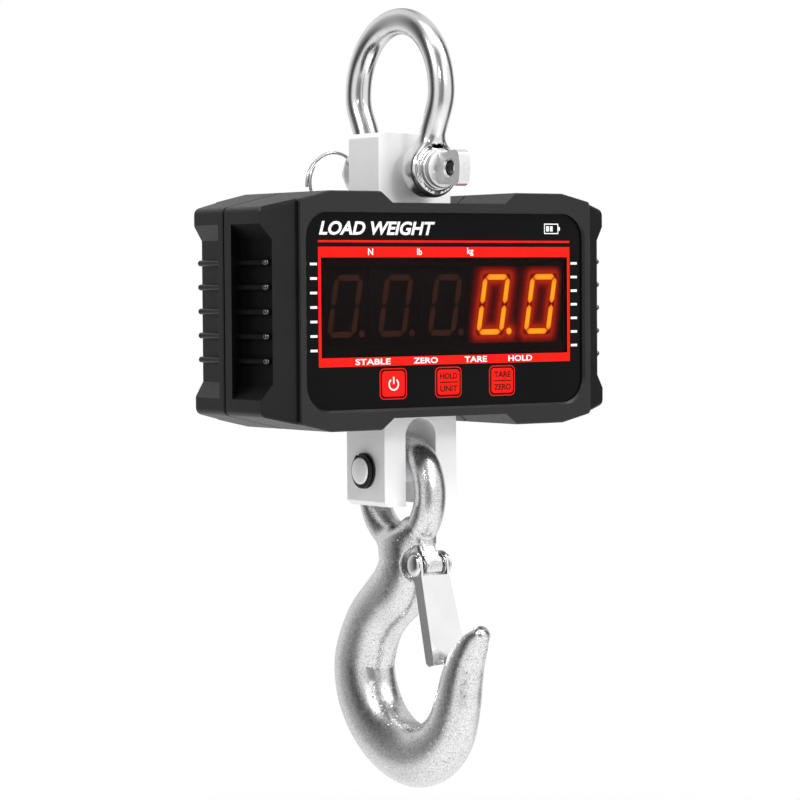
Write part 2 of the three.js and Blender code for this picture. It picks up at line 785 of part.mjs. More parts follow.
function rearShell() {
  const outer = loft([
    caseRing(SEAM_HALF, BUMPER_HALF_W - 0.4, 0.4, 3.5),
    caseRing(SEAM_HALF + 0.5, BUMPER_HALF_W, 0, 3.5),
    caseRing(REAR_BUMPER_Y - 0.6, BUMPER_HALF_W, 0, 3.5),
    caseRing(REAR_BUMPER_Y, BUMPER_HALF_W - 0.5, 0, 3.5),
    caseRing(REAR_FLARE_Y, PLATE_HALF_W, 0, 2),
    caseRing(REAR_Y - 0.6, PLATE_HALF_W, 0, 2),
    caseRing(REAR_Y, PLATE_HALF_W - 0.6, 0.6, 2),
  ]);
  const bosses = CORNERS.map(([x, z]) =>
    rodY(7, SEAM_HALF, REAR_WALL_Y + 1, x * SCREW_X, CASE_MID_Z + z * SCREW_Z, 12),
  );
  const posts = [1, -1].map((side) =>
    rodY(6, LUG_HALF_Y + GAP, REAR_WALL_Y + 1, side * CELL_SCREW_X, CELL_SCREW_Z, 12),
  );
  const hollow = cut(prismY(cavityShape(), -5, REAR_WALL_Y), ...bosses, ...posts);
  const screwHoles = CORNERS.flatMap(([x, z]) => [
    rodY(2.4, -5, 30, x * SCREW_X, CASE_MID_Z + z * SCREW_Z, 8),
    rodY(4.6, SCREW_SEAT_Y, 40, x * SCREW_X, CASE_MID_Z + z * SCREW_Z, 16),
  ]);
  const cellHoles = [1, -1].flatMap((side) => [
    rodY(2.3, 10, 40, side * CELL_SCREW_X, CELL_SCREW_Z, 8),
    rodY(4.6, REAR_WALL_Y, 40, side * CELL_SCREW_X, CELL_SCREW_Z, 12),
  ]);
  const doorRecess = prismY(
    roundedRectangle(DOOR_X, DOOR_Z, DOOR_HALF_W + GAP, DOOR_HALF_H + GAP, 4),
    REAR_Y - DOOR_DEPTH - GAP,
    40,
  );
  const doorway = box(
    DOOR_X - DOOR_HALF_W + 5,
    DOOR_X + DOOR_HALF_W - 5,
    20,
    40,
    DOOR_Z - DOOR_HALF_H + 9,
    DOOR_Z + DOOR_HALF_H - 9,
  );
  const doorScrewHoles = DOOR_SCREW_Z.map((z) => rodY(1.8, 20, 40, DOOR_X, z, 8));
  const socketHole = rodY(8 + GAP, 20, 40, SOCKET_X, SOCKET_Z);
  const shell = cut(
    outer,
    hollow,
    notch(1),
    notch(-1),
    blockPassage(),
    gripRecess(1, GRIP_REAR_Y, 60),
    gripRecess(-1, GRIP_REAR_Y, 60),
    doorRecess,
    doorway,
    socketHole,
    ...screwHoles,
    ...cellHoles,
    ...doorScrewHoles,
  );
  const ribEnd = REAR_BUMPER_Y + 0.4;
  return join(
    shell,
    ...gripRibs(1, GRIP_REAR_Y - 0.5, ribEnd),
    ...gripRibs(-1, GRIP_REAR_Y - 0.5, ribEnd),
  );
}

// Flat seal between the shells: the housing outline less the cavity, drawn in from the outside.
function housingGasket() {
  const half = SEAM_HALF - GAP;
  const inset = 1.6;
  const sheet = loft([
    caseRing(-half, WAIST_HALF_W - 0.6, inset, 2),
    caseRing(half, WAIST_HALF_W - 0.6, inset, 2),
  ]);
  const screwHoles = CORNERS.map(([x, z]) =>
    rodY(2.6, -5, 5, x * SCREW_X, CASE_MID_Z + z * SCREW_Z, 8),
  );
  const seal = cut(sheet, prismY(cavityShape(), -5, 5), notch(1), notch(-1), ...screwHoles);
  // The block's passage splits the seal into a left and a right half.
  const middle = CLEVIS_HALF_X + 1;
  return {
    left: cut(seal, box(-middle, 120, -5, 5, -300, 0)),
    right: cut(seal, box(-120, middle, -5, 5, -300, 0)),
  };
}

function caseScrew(x, z) {
  const seat = SCREW_SEAT_Y + GAP;
  const tipY = -14;
  const profile = [
    [0, tipY],
    [1.9, tipY],
    [1.9, seat],
    [4, seat],
    [4, seat + 1.6],
    [2.8, seat + 2.6],
    [0, seat + 2.6],
  ];
  return turnedY(profile, x, z, 10);
}

place("front_shell", frontShell(), blackHousing);
place("rear_shell", rearShell(), blackHousing);
const gasket = housingGasket();
place("gasket_left", gasket.left, blackRubber);
place("gasket_right", gasket.right, blackRubber);
CORNERS.forEach(([x, z], i) => {
  place("case_screw_" + (i + 1), caseScrew(x * SCREW_X, CASE_MID_Z + z * SCREW_Z), blackOxide);
});

// ---------------------------------------------------------------- display face

function facePanel() {
  const outline = roundedRectangle(0, CASE_MID_Z, LABEL_HALF_W, LABEL_HALF_H, LABEL_R);
  const sheet = prismY(outline, LABEL_Y, LABEL_BACK_Y);
  const opening = box(
    -WINDOW_HALF_W - GAP,
    WINDOW_HALF_W + GAP,
    -50,
    -30,
    WINDOW_Z - WINDOW_HALF_H - GAP,
    WINDOW_Z + WINDOW_HALF_H + GAP,
  );
  const keyHoles = BUTTONS.map(([, x]) =>
    prismY(roundedRectangle(x, BUTTON_Z, BUTTON_HALF_W + GAP, BUTTON_HALF_H + GAP, 2), -50, -30),
  );
  return cut(sheet, opening, ...keyHoles);
}

// Six-sided bar of a digit, from one end to the other in the module's face.
function segmentBar(x0, z0, x1, z1) {
  const length = Math.hypot(x1 - x0, z1 - z0);
  const along = [(x1 - x0) / length, (z1 - z0) / length];
  const half = SEGMENT_W / 2;
  const at = (distance, aside) => [
    x0 + along[0] * distance - along[1] * aside,
    z0 + along[1] * distance + along[0] * aside,
  ];
  return [
    at(SEGMENT_GAP, 0),
    at(half + SEGMENT_GAP, -half),
    at(length - half - SEGMENT_GAP, -half),
    at(length - SEGMENT_GAP, 0),
    at(length - half - SEGMENT_GAP, half),
    at(half + SEGMENT_GAP, half),
  ];
}

function digitBars() {
  const w = DIGIT_HALF_W - SEGMENT_W / 2;
  const h = DIGIT_HALF_H - SEGMENT_W / 2;
  return [
    segmentBar(-w, h, w, h),
    segmentBar(-w, 0, w, 0),
    segmentBar(-w, -h, w, -h),
    segmentBar(-w, 0, -w, h),
    segmentBar(w, 0, w, h),
    segmentBar(-w, -h, -w, 0),
    segmentBar(w, -h, w, 0),
  ];
}

function digitModule(x) {
  const face = LABEL_BACK_Y + 1.3;
  const half = DIGIT_PITCH / 2 - 0.4;
  const halfH = 19;
  const raised = face - 0.3;
  const rooted = face + 0.5;
  const body = box(x - half, x + half, face, BOARD_Y - GAP, DIGIT_Z - halfH, DIGIT_Z + halfH);
  const slanted = ([u, v]) => [x + u + v * DIGIT_SLANT, DIGIT_Z + v];
  const bars = digitBars().map((points) => prismY(shapeOf(points.map(slanted)), raised, rooted));
  const dot = rodY(1.7, raised, rooted, x + DIGIT_HALF_W + 1.2, DIGIT_Z - DIGIT_HALF_H + 1.7, 8);
  return join(body, ...bars, dot);
}

function displayBoard() {
  const sheet = box(-75, 75, BOARD_Y, BOARD_Y + 1.6, CASE_MID_Z - 44, CASE_MID_Z + 24);
  const driver = box(-40, -22, BOARD_Y + 1, BOARD_Y + 4, CASE_MID_Z - 5, CASE_MID_Z + 6);
  const connector = box(30, 46, BOARD_Y + 1, BOARD_Y + 7, CASE_MID_Z - 12, CASE_MID_Z - 5);
  return join(sheet, driver, connector);
}

function keyCap(x) {
  const outline = roundedRectangle(x, BUTTON_Z, BUTTON_HALF_W, BUTTON_HALF_H, 1.8);
  const cap = prismY(outline, LABEL_Y - 0.4, -32.2);
  const halfW = BUTTON_HALF_W + 1.5;
  const halfH = BUTTON_HALF_H + 1.5;
  const flangeY = FRONT_WALL_Y + GAP;
  const flange = box(x - halfW, x + halfW, flangeY, flangeY + 1.3, BUTTON_Z - halfH, BUTTON_Z + halfH);
  return join(cap, flange);
}

function tactSwitch(x) {
  const body = box(x - 3, x + 3, -30.4, BOARD_Y - GAP, BUTTON_Z - 3, BUTTON_Z + 3);
  const plunger = rodY(1.7, -31.1, -29.5, x, BUTTON_Z, 8);
  return join(body, plunger);
}

function displayWindow() {
  const low = WINDOW_Z - WINDOW_HALF_H;
  const high = WINDOW_Z + WINDOW_HALF_H;
  return box(-WINDOW_HALF_W, WINDOW_HALF_W, LABEL_Y, LABEL_BACK_Y, low, high);
}

place("face_panel", facePanel(), glossBlack);
place("display_window", displayWindow(), smokedLens);
for (let i = 0; i < DIGIT_COUNT; i++) {
  const x = DIGIT_PITCH * (i - (DIGIT_COUNT - 1) / 2);
  place("digit_module_" + (i + 1), digitModule(x), unlitDigit);
}
place("display_board", displayBoard(), circuitBoard);
for (const [name, x] of BUTTONS) {
  place("button_" + name, keyCap(x), redKey);
  place("switch_" + name, tactSwitch(x), blackOxide);
}

// ---------------------------------------------------------------- inside and back

function mainBoard() {
  const boardY = 20;
  const sheet = box(32, 74, boardY, boardY + 1.6, CASE_MID_Z - 38, CASE_MID_Z + 36);
  const chip = box(44, 58, boardY - 2.4, boardY + 1, CASE_MID_Z + 6, CASE_MID_Z + 20);
  const capacitor = rodY(4, boardY - 11, boardY + 1, 66, CASE_MID_Z - 30, 12);
  const connector = box(38, 56, boardY - 7, boardY + 1, CASE_MID_Z - 14, CASE_MID_Z - 7);
  return join(sheet, chip, capacitor, connector);
}

function batteryDoor() {
  const outline = roundedRectangle(DOOR_X, DOOR_Z, DOOR_HALF_W, DOOR_HALF_H, 3.7);
  const sheet = prismY(outline, REAR_Y - DOOR_DEPTH, REAR_Y);
  const holes = DOOR_SCREW_Z.map((z) => rodY(1.8, 20, 40, DOOR_X, z, 8));
  const seats = DOOR_SCREW_Z.map((z) => rodY(3.6, REAR_Y - 1.2, 40, DOOR_X, z, 16));
  return cut(sheet, ...holes, ...seats);
}

function smallScrew(x, z, headSeatY, length, headR, shaftR) {
  const seat = headSeatY + GAP / 2;
  const head = 0.9;
  return turnedY(
    [
      [0, seat - length],
      [shaftR, seat - length],
      [shaftR, seat],
      [headR, seat],
      [headR - 0.3, seat + head],
      [0, seat + head],
    ],
    x,
    z,
    10,
  );
}

function chargeSocket() {
  const sleeve = rodY(8, 24, REAR_Y - 1.4, SOCKET_X, SOCKET_Z, 16);
  const bore = rodY(5.5, 26, 40, SOCKET_X, SOCKET_Z, 16);
  const contact = rodY(1.2, 25, REAR_Y - 4, SOCKET_X, SOCKET_Z, 12);
  return join(cut(sleeve, bore), contact);
}

function socketPlug() {
  return cut(
    turnedY(
      [
        [0, 27],
        [4.9, 27],
        [5.1, REAR_Y - 1.1],
        [7.7, REAR_Y - 1.1],
        [7.7, REAR_Y - 0.4],
        [7.3, REAR_Y],
        [0, REAR_Y],
      ],
      SOCKET_X,
      SOCKET_Z,
      16,
    ),
    rodY(1.6, 20, REAR_Y - 2, SOCKET_X, SOCKET_Z, 8),
  );
}

place("main_board", mainBoard(), circuitBoard);
place("battery_pack", box(-79, -33, -20, 28, DOOR_Z - 24, DOOR_Z + 24), batteryWrap);
place("battery_door", batteryDoor(), blackHousing);
DOOR_SCREW_Z.forEach((z, i) => {
  const screw = smallScrew(DOOR_X, z, REAR_Y - 1.2, 4.6, 3.2, 1.4);
  place("door_screw_" + (i + 1), screw, blackOxide);
});
[1, -1].forEach((side, i) => {
  const screw = smallScrew(side * CELL_SCREW_X, CELL_SCREW_Z, REAR_WALL_Y, 26, 4, 1.5);
  place("cell_screw_" + (i + 1), screw, blackOxide);
});
place("charge_socket", chargeSocket(), blackOxide);
place("socket_plug", socketPlug(), blackRubber);

// ---------------------------------------------------------------- hook

// The hook's stations joined by a smooth curve, as rows of y, z, half width and half thickness.
function hookPath(steps) {
  const places = HOOK_STATIONS.map(([y, z]) => vector(0, y, HOOK_PIN_Z + z));
  const sizes = HOOK_STATIONS.map(([, , width, thickness]) => vector(width, thickness, 0));
  const route = new THREE.CatmullRomCurve3(places, false, "centripetal");
  const girth = new THREE.CatmullRomCurve3(sizes, false, "catmullrom", 0.5);
  const rows = [];
  for (let i = 0; i <= steps; i++) {
    const t = i / steps;
    const centre = route.getPoint(t);
    const tangent = route.getTangent(t);
    const size = girth.getPoint(t);
    rows.push([centre.y, centre.z, tangent.y, tangent.z, size.x, size.y]);
  }
  return rows;
}

function hookShank() {
  const sides = 12;
  const rows = hookPath(34);
  const rings = rows.map((row) => ringAcross(...row, sides));
  const [y, z, ty, tz, width, thickness] = rows.at(-1);
  const domeSteps = 3;
  for (let i = 1; i <= domeSteps; i++) {
    const turn = (Math.PI / 2) * (i / (domeSteps + 0.4));
    const ahead = 3.5 * Math.sin(turn);
    const shrink = Math.cos(turn);
    rings.push(
      ringAcross(y + ty * ahead, z + tz * ahead, ty, tz, width * shrink, thickness * shrink, sides),
    );
  }
  return loft(rings);
}

function hookEye() {
  const rings = [];
  const steps = 28;
  for (let i = 0; i < steps; i++) {
    const turn = (2 * Math.PI * i) / steps;
    const radial = HOOK_EYE_THIN + ((HOOK_EYE_THICK - HOOK_EYE_THIN) * (1 - Math.sin(turn))) / 2;
    const radius = HOOK_EYE_HOLE_R + radial;
    rings.push(
      ringAcross(
        radius * Math.cos(turn),
        HOOK_PIN_Z - HOOK_EYE_DROP + radius * Math.sin(turn),
        -Math.sin(turn),
        Math.cos(turn),
        radial,
        HOOK_EYE_HALF,
        10,
      ),
    );
  }
  return loft(rings, true);
}

// Ridge on the neck's inner side that carries the latch's rivet, rounded about the rivet below.
function latchBoss() {
  const points = [[-8, LATCH_Z + 18]];
  for (let i = 0; i <= 8; i++) {
    const turn = Math.PI * (0.86 + 0.64 * (i / 8));
    points.push([LATCH_Y + BOSS_R * Math.cos(turn), LATCH_Z + BOSS_R * Math.sin(turn)]);
  }
  points.push([-8, LATCH_Z - BOSS_R]);
  return prismX(shapeOf(points), -BOSS_HALF, BOSS_HALF);
}

function hookBody() {
  const eyeHole = rodX(HOOK_EYE_HOLE_R - 0.2, -30, 30, 0, HOOK_PIN_Z - HOOK_EYE_DROP, 28);
  const boss = latchBoss();
  const roomR = LATCH_EAR_R + 1.4;
  const leftRoom = rodX(roomR, -30, -BOSS_HALF, LATCH_Y, LATCH_Z);
  const rightRoom = rodX(roomR, BOSS_HALF, 30, LATCH_Y, LATCH_Z);
  const rivetHole = rodX(RIVET_R + GAP, -30, 30, LATCH_Y, LATCH_Z, 16);
  const forging = join(cut(hookShank(), eyeHole), hookEye(), boss);
  return cut(forging, leftRoom, rightRoom, rivetHole);
}

// A point of the latch's side view: distance along it and distance forward of its pivot.
function latchPoint(along, forward) {
  return [
    LATCH_Y - Math.sin(LATCH_LEAN) * along - Math.cos(LATCH_LEAN) * forward,
    LATCH_Z - Math.cos(LATCH_LEAN) * along + Math.sin(LATCH_LEAN) * forward,
  ];
}

// Outline of one ear and its side flange, in the latch's own frame.
const LATCH_SIDE = [
  [LATCH_LENGTH, LATCH_FRONT],
  [6, LATCH_FRONT],
  [2.5, 4.4],
  [-1.5, 4.9],
  [-4.4, 4],
  [-6.3, 1.9],
  [-6.8, -0.6],
  [-6, -3.2],
  [-4, -5.1],
  [-1, -6],
  [4, -5.6],
  [11, LATCH_BACK - 1],
  [LATCH_LENGTH - 2, LATCH_BACK],
  [LATCH_LENGTH, LATCH_BACK + 2],
];

// Half width of the latch's outside at a distance along it.
const latchHalfWidth = (along) => LATCH_HALF_W + LATCH_TAPER * Math.max(0, along - 6);

// Sheet of even thickness through an outline: each row is along, forward; x gives both faces there.
function latchSheet(outline, faces) {
  const ring = (which) =>
    outline.map(([along, forward]) => {
      const [y, z] = latchPoint(along, forward);
      return vector(faces(along)[which], y, z);
    });
  return [ring(0), ring(1)];
}

// One closed skin between two matching outlines that need not be convex.
function skinned([near, far]) {
  const count = near.length;
  const flat = near.map((p) => new THREE.Vector2(p.y, p.z));
  const faces = THREE.ShapeUtils.triangulateShape(flat, []);
  const index = [];
  for (const [a, b, c] of faces) {
    index.push(a, c, b);
    index.push(count + a, count + b, count + c);
  }
  const turned = THREE.ShapeUtils.isClockWise(flat);
  for (let j = 0; j < count; j++) {
    const k = (j + 1) % count;
    const side = [j, k, count + k, j, count + k, count + j];
    index.push(...(turned ? side.reverse() : side));
  }
  const geometry = new THREE.BufferGeometry().setFromPoints([...near, ...far]);
  geometry.setIndex(index);
  return solidOf(geometry);
}

function hookLatch() {
  const right = latchSheet(LATCH_SIDE, (along) => [
    latchHalfWidth(along) - LATCH_SHEET,
    latchHalfWidth(along),
  ]);
  const left = latchSheet(LATCH_SIDE, (along) => [
    -latchHalfWidth(along),
    -latchHalfWidth(along) + LATCH_SHEET,
  ]);
  const webOutline = [
    [6, LATCH_FRONT],
    [6, LATCH_FRONT - LATCH_SHEET],
    [LATCH_LENGTH, LATCH_FRONT - LATCH_SHEET],
    [LATCH_LENGTH, LATCH_FRONT],
  ];
  const web = latchSheet(webOutline, (along) => [
    -latchHalfWidth(along) + 0.2,
    latchHalfWidth(along) - 0.2,
  ]);
  const rivetHole = rodX(RIVET_R + GAP, -30, 30, LATCH_Y, LATCH_Z, 16);
  return cut(join(skinned(left), skinned(right), skinned(web)), rivetHole);
}

function latchRivet() {
  const seat = LATCH_HALF_W + GAP;
  const half = [
    [RIVET_R, seat],
    [RIVET_HEAD_R, seat],
    [RIVET_HEAD_R, seat + 0.7],
    [RIVET_HEAD_R - 1.2, seat + 1.6],
    [RIVET_HEAD_R - 3.2, seat + 2.1],
    [0, seat + 2.2],
  ];
  const mirrored = half.map(([radius, x]) => [radius, -x]).reverse();
  return turnedX([...mirrored, ...half], LATCH_Y, LATCH_Z, 20);
}

// Two turns of wire round the rivet between the hook and the latch's right ear, and one leg on the web.
function latchSpring() {
  const wireR = 0.45;
  const innerR = RIVET_R + GAP + wireR + 0.1;
  const outerR = innerR + 2;
  const x = (BOSS_HALF + LATCH_HALF_W - LATCH_SHEET) / 2;
  const legAngle = -LATCH_LEAN - Math.PI / 2;
  const points = [];
  const steps = 26;
  for (let i = 0; i <= steps; i++) {
    const turn = legAngle - 0.2 - (2 * Math.PI * 1.6 * (steps - i)) / steps;
    const r = innerR + ((outerR - innerR) * i) / steps;
    points.push(vector(x, LATCH_Y + r * Math.cos(turn), LATCH_Z + r * Math.sin(turn)));
  }
  const [legY, legZ] = latchPoint(20, LATCH_FRONT - 2.2);
  points.push(vector(x, legY, legZ));
  return wire(new THREE.CatmullRomCurve3(points), wireR, 56, 6);
}

place("hook_body", hookBody(), forgedZinc);
place("latch_rivet", latchRivet(), polishedSteel);
place("hook_latch", hookLatch(), polishedSteel);
place("latch_spring", latchSpring(), springSteel);

export default part;
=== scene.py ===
"""Hanging crane scale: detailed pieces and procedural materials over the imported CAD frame.

Lengths in this file are millimetres in the row frame until a mesh is made, which is in metres:
+X right of a reader of the display, the display faces -Y, +Z up, origin at the shackle's inner crown.
"""

import contextlib
import json
import math

import bmesh
import bpy
import numpy as np
from mathutils import Matrix, Vector


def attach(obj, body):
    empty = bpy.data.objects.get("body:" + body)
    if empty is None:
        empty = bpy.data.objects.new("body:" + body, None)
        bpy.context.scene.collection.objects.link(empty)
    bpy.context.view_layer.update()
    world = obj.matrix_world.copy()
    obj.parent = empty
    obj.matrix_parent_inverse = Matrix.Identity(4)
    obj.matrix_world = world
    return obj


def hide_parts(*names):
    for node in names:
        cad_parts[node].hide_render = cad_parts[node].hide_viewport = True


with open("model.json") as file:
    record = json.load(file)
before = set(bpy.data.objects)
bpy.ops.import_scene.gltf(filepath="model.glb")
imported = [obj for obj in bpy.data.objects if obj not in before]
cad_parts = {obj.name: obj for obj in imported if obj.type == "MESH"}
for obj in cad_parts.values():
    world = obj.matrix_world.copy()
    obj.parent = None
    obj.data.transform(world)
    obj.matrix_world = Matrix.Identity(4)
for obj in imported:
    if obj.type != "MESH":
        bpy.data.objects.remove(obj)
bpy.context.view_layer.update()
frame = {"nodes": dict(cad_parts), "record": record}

MM = 0.001
GAP = 0.3  # between touching pieces
SIDES = (("left", -1), ("right", 1))

# ---------------------------------------------------------------- dimensions shared with the CAD

PIN_Z = -67.9
CASE_Z = -136.8
HOOK_Z = -216.6
ROD_R = 6.5
BOW_R = 35.7
BOW_MID_Z = ROD_R - BOW_R
EYE_Y = 25.8
EYE_HALF = 6.5
EYE_R = 13.9
PIN_R = 6.1
COLLAR_R = 10
TAB_Y = -38
TAB_HALF = 3.2
TAB_HOLE_Y = -45.7
TAB_HOLE_R = 3.8
TAIL_Y = 43
RING_Y = 38
RING_R = 15
RING_LEAN = math.radians(18.5)
LUG = (21.8, 13.1, -49.5)
CLEVIS = (22, 16.5, -180)
BLOCK_BOTTOM = -234.1
BLOCK_CHAMFER = 2.3
SLOT_HALF = 9.1
SLOT_TOP = -190.4
HOOK_PIN_R = 6.6
HOOK_PIN_HALF = 27
CASE_HALF_H = 57.4
BUMPER_W = 104
BUMPER_R = 3.5
PLATE_W = 88
PLATE_R = 2
SHOULDER_X = 70
SHOULDER_SLOPE = 0.232
FRONT_Y = -42
FRONT_FLARE_Y = -38.4
FRONT_BUMPER_Y = -32.4
FRONT_WALL_Y = -35.4
REAR_BUMPER_Y = 27
REAR_FLARE_Y = 31.4
REAR_WALL_Y = 29
REAR_Y = 34
SEAM = 0.6
LABEL_W = 83
LABEL_H = 46.9
LABEL_R = 12.5
LABEL_Y = -39.9
LABEL_BACK_Y = -38.7
LABEL_SEAT_Y = -38.4
WINDOW_W = 74.5
WINDOW_H = 23.9
WINDOW_Z = CASE_Z + 1.65
DIGIT_Z = CASE_Z + 2.3
DIGIT_PITCH = 29.6
DIGIT_W = 8.4
DIGIT_H = 15
DIGIT_SLANT = math.tan(math.radians(9.7))
SEGMENT_W = 2.9
SEGMENT_GAP = 0.35
DIGIT_FACE_Y = LABEL_BACK_Y + 1.3
BUTTON_Z = CASE_Z - 35.4
BUTTONS = (("power", -33), ("hold", 0), ("tare", 33))
BUTTON_W = 6.7
BUTTON_H = 6.2
WAIST_W = 98.5
WAIST_H = 34.2
GRIP_H = 41.7
GRIP_FRONT_Y = -7
GRIP_REAR_Y = 4.6
RIB_COUNT = 5
RIB_PITCH = 11.7
RIB_HALF = 1.45
RIB_TIP_X = 101.5
DOOR = (-57, CASE_Z - 2, 27, 35)
DOOR_SCREWS = [(DOOR[0], DOOR[1] + up) for up in (30, -30)]
CASE_SCREWS = [(82 * sx, CASE_Z + 42 * sz) for sx, sz in ((1, 1), (-1, 1), (1, -1), (-1, -1))]
CELL_SCREWS = [(13 * side, CASE_Z + 34) for side in (1, -1)]
SOCKET = (60, CASE_Z - 24)
LATCH_Y = -23
LATCH_Z = HOOK_Z - 46.4
LATCH_LEAN = math.radians(16.4)
LATCH_LENGTH = 50.5
LATCH_FRONT = 3.5
LATCH_BACK = -3
LATCH_SHEET = 1.2
LATCH_W = 8.5
LATCH_TAPER = 0.04
RIVET_R = 2.6

# ---------------------------------------------------------------- mesh helpers


def mesh_object(name, points, faces):
    mesh = bpy.data.meshes.new(name)
    mesh.from_pydata([(x * MM, y * MM, z * MM) for x, y, z in points], [], faces)
    obj = bpy.data.objects.new(name, mesh)
    bpy.context.scene.collection.objects.link(obj)
    return obj


@contextlib.contextmanager
def editing(obj):
    """The mesh of obj as a bmesh, written back at the end."""
    work = bmesh.new()
    work.from_mesh(obj.data)
    yield work
    work.to_mesh(obj.data)
    work.free()


def face_outwards(obj):
    with editing(obj) as work:
        bmesh.ops.remove_doubles(work, verts=work.verts, dist=1e-6)
        bmesh.ops.recalc_face_normals(work, faces=work.faces)
    return obj


def triangulated(obj):
    with editing(obj) as work:
        bmesh.ops.triangulate(work, faces=work.faces)
    return obj


def merged(target, extra):
    """Adds the mesh of extra to target as it is."""
    with editing(target) as work:
        work.from_mesh(extra.data)
    bpy.data.objects.remove(extra)
    return target


def merge_flats(obj):
    """Joins coplanar faces, so that bevels run clean along the real edges."""
    flat = math.radians(0.6)
    with editing(obj) as work:
        bmesh.ops.remove_doubles(work, verts=work.verts, dist=2e-6)
        bmesh.ops.dissolve_limit(work, angle_limit=flat, verts=work.verts, edges=work.edges)
        bmesh.ops.recalc_face_normals(work, faces=work.faces)


def loft(name, rings, closed=False):
    """Skin over rings of points; the end rings are capped, or joined to each other when closed."""
    count = len(rings[0])
    points = [p for ring in rings for p in ring]
    faces = []
    for i in range(len(rings) if closed else len(rings) - 1):
        near = i * count
        far = ((i + 1) % len(rings)) * count
        for j in range(count):
            k = (j + 1) % count
            faces.append((near + j, far + j, far + k, near + k))
    if not closed:
        faces.append(tuple(range(count))[::-1])
        faces.append(tuple(range(len(points) - count, len(points))))
    return face_outwards(mesh_object(name, points, faces))


def prism_x(name, outline, low, high):
    return loft(name, [[(x, y, z) for y, z in outline] for x in (low, high)])


def prism_y(name, outline, low, high):
    return loft(name, [[(x, y, z) for x, z in outline] for y in (low, high)])


def rectangle(x0, x1, z0, z1):
    return [(x0, z0), (x1, z0), (x1, z1), (x0, z1)]


def block(name, x0, x1, y0, y1, z0, z1):
    return prism_y(name, rectangle(x0, x1, z0, z1), y0, y1)


def polar(radius, turn, u=0.0, v=0.0):
    return u + radius * math.cos(turn), v + radius * math.sin(turn)


def circle(radius, u=0.0, v=0.0, sides=48):
    return [polar(radius, 2 * math.pi * i / sides, u, v) for i in range(sides)]


def lathe(name, profile, axis, centre, segments=64):
    """Turned piece; profile rows are radius and place along the axis, capped at both ends or closed."""
    rings = []
    for radius, along in profile:
        ring = circle(radius, *centre, segments)
        rings.append([(along, u, v) if axis == "X" else (u, along, v) for u, v in ring])
    closed = profile[0] == profile[-1]
    return loft(name, rings[:-1] if closed else rings, closed)


def cylinder(radius, low, high, axis, centre, segments=40):
    """Plain round solid from low to high along an axis."""
    return lathe("cylinder", [(radius, low), (radius, high)], axis, centre, segments)


def rounded(x, z, half_w, half_h, radius, steps=10):
    """Outline of a rectangle with round corners."""
    points = []
    for sx, sz, start in ((1, -1, -90), (1, 1, 0), (-1, 1, 90), (-1, -1, 180)):
        centre = (x + sx * (half_w - radius), z + sz * (half_h - radius))
        for i in range(steps + 1):
            points.append(polar(radius, math.radians(start + 90 * i / steps), *centre))
    return points


def evaluated_mesh(obj):
    """A new mesh from obj with its modifiers, or its text, worked out."""
    bpy.context.view_layer.update()
    graph = bpy.context.evaluated_depsgraph_get()
    return bpy.data.meshes.new_from_object(obj.evaluated_get(graph))


def bake(obj):
    """Applies every modifier of obj."""
    made = evaluated_mesh(obj)
    old = obj.data
    obj.modifiers.clear()
    obj.data = made
    bpy.data.meshes.remove(old)
    return obj


def combine(target, tools, operation):
    for tool in tools:
        step = target.modifiers.new("step", "BOOLEAN")
        step.operation = operation
        step.object = tool
        step.solver = "EXACT"
    bake(target)
    for tool in tools:
        bpy.data.objects.remove(tool)
    return target


def cut(target, *tools):
    return combine(target, tools, "DIFFERENCE")


def join(target, *tools):
    return combine(target, tools, "UNION")


def smooth(obj):
    obj.data.polygons.foreach_set("use_smooth", [True] * len(obj.data.polygons))
    obj.data.update()
    return obj


def settle(obj, body, slot, node=None, look=None):
    """Puts a finished piece on its body, in the look of its slot unless another is named."""
    obj.data.materials.clear()
    obj.data.materials.append(LOOKS[look or slot])
    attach(obj, body)
    if node:
        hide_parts(node)
    return obj


def dress(obj, body, slot, node, bevel=0.3, angle=32, segments=3, look=None):
    """Rounds the edges of a hard-surface piece and puts it on its body."""
    merge_flats(obj)
    smooth(obj)
    if bevel:
        edge = obj.modifiers.new("edges", "BEVEL")
        edge.width = bevel * MM
        edge.segments = segments
        edge.limit_method = "ANGLE"
        edge.angle_limit = math.radians(angle)
        edge.harden_normals = True
        edge.miter_outer = "MITER_ARC"
    shade = obj.modifiers.new("shade", "WEIGHTED_NORMAL")
    shade.keep_sharp = True
    return settle(obj, body, slot, node, look)


def tint(obj, look, within):
    """Gives its own look to each face that passes a test of its middle, in mm, and its normal."""
    obj.data.materials.append(LOOKS[look])
    for face in obj.data.polygons:
        if within(face.center / MM, face.normal):
            face.material_index = len(obj.data.materials) - 1


def catmull(points, steps):
    """Smooth curve through rows of numbers, as an array with `steps` rows to each span."""
    rows = np.array(points, float)
    padded = np.vstack([2 * rows[0] - rows[1], rows, 2 * rows[-1] - rows[-2]])
    made = []
    for i in range(1, len(padded) - 2):
        a, b, c, d = padded[i - 1 : i + 3]
        for s in range(steps):
            t = s / steps
            square = (2 * a - 5 * b + 4 * c - d) * t * t
            cube = (3 * b - 3 * c + d - a) * t**3
            made.append(0.5 * (2 * b + (c - a) * t + square + cube))
    made.append(rows[-1])
    return np.array(made)


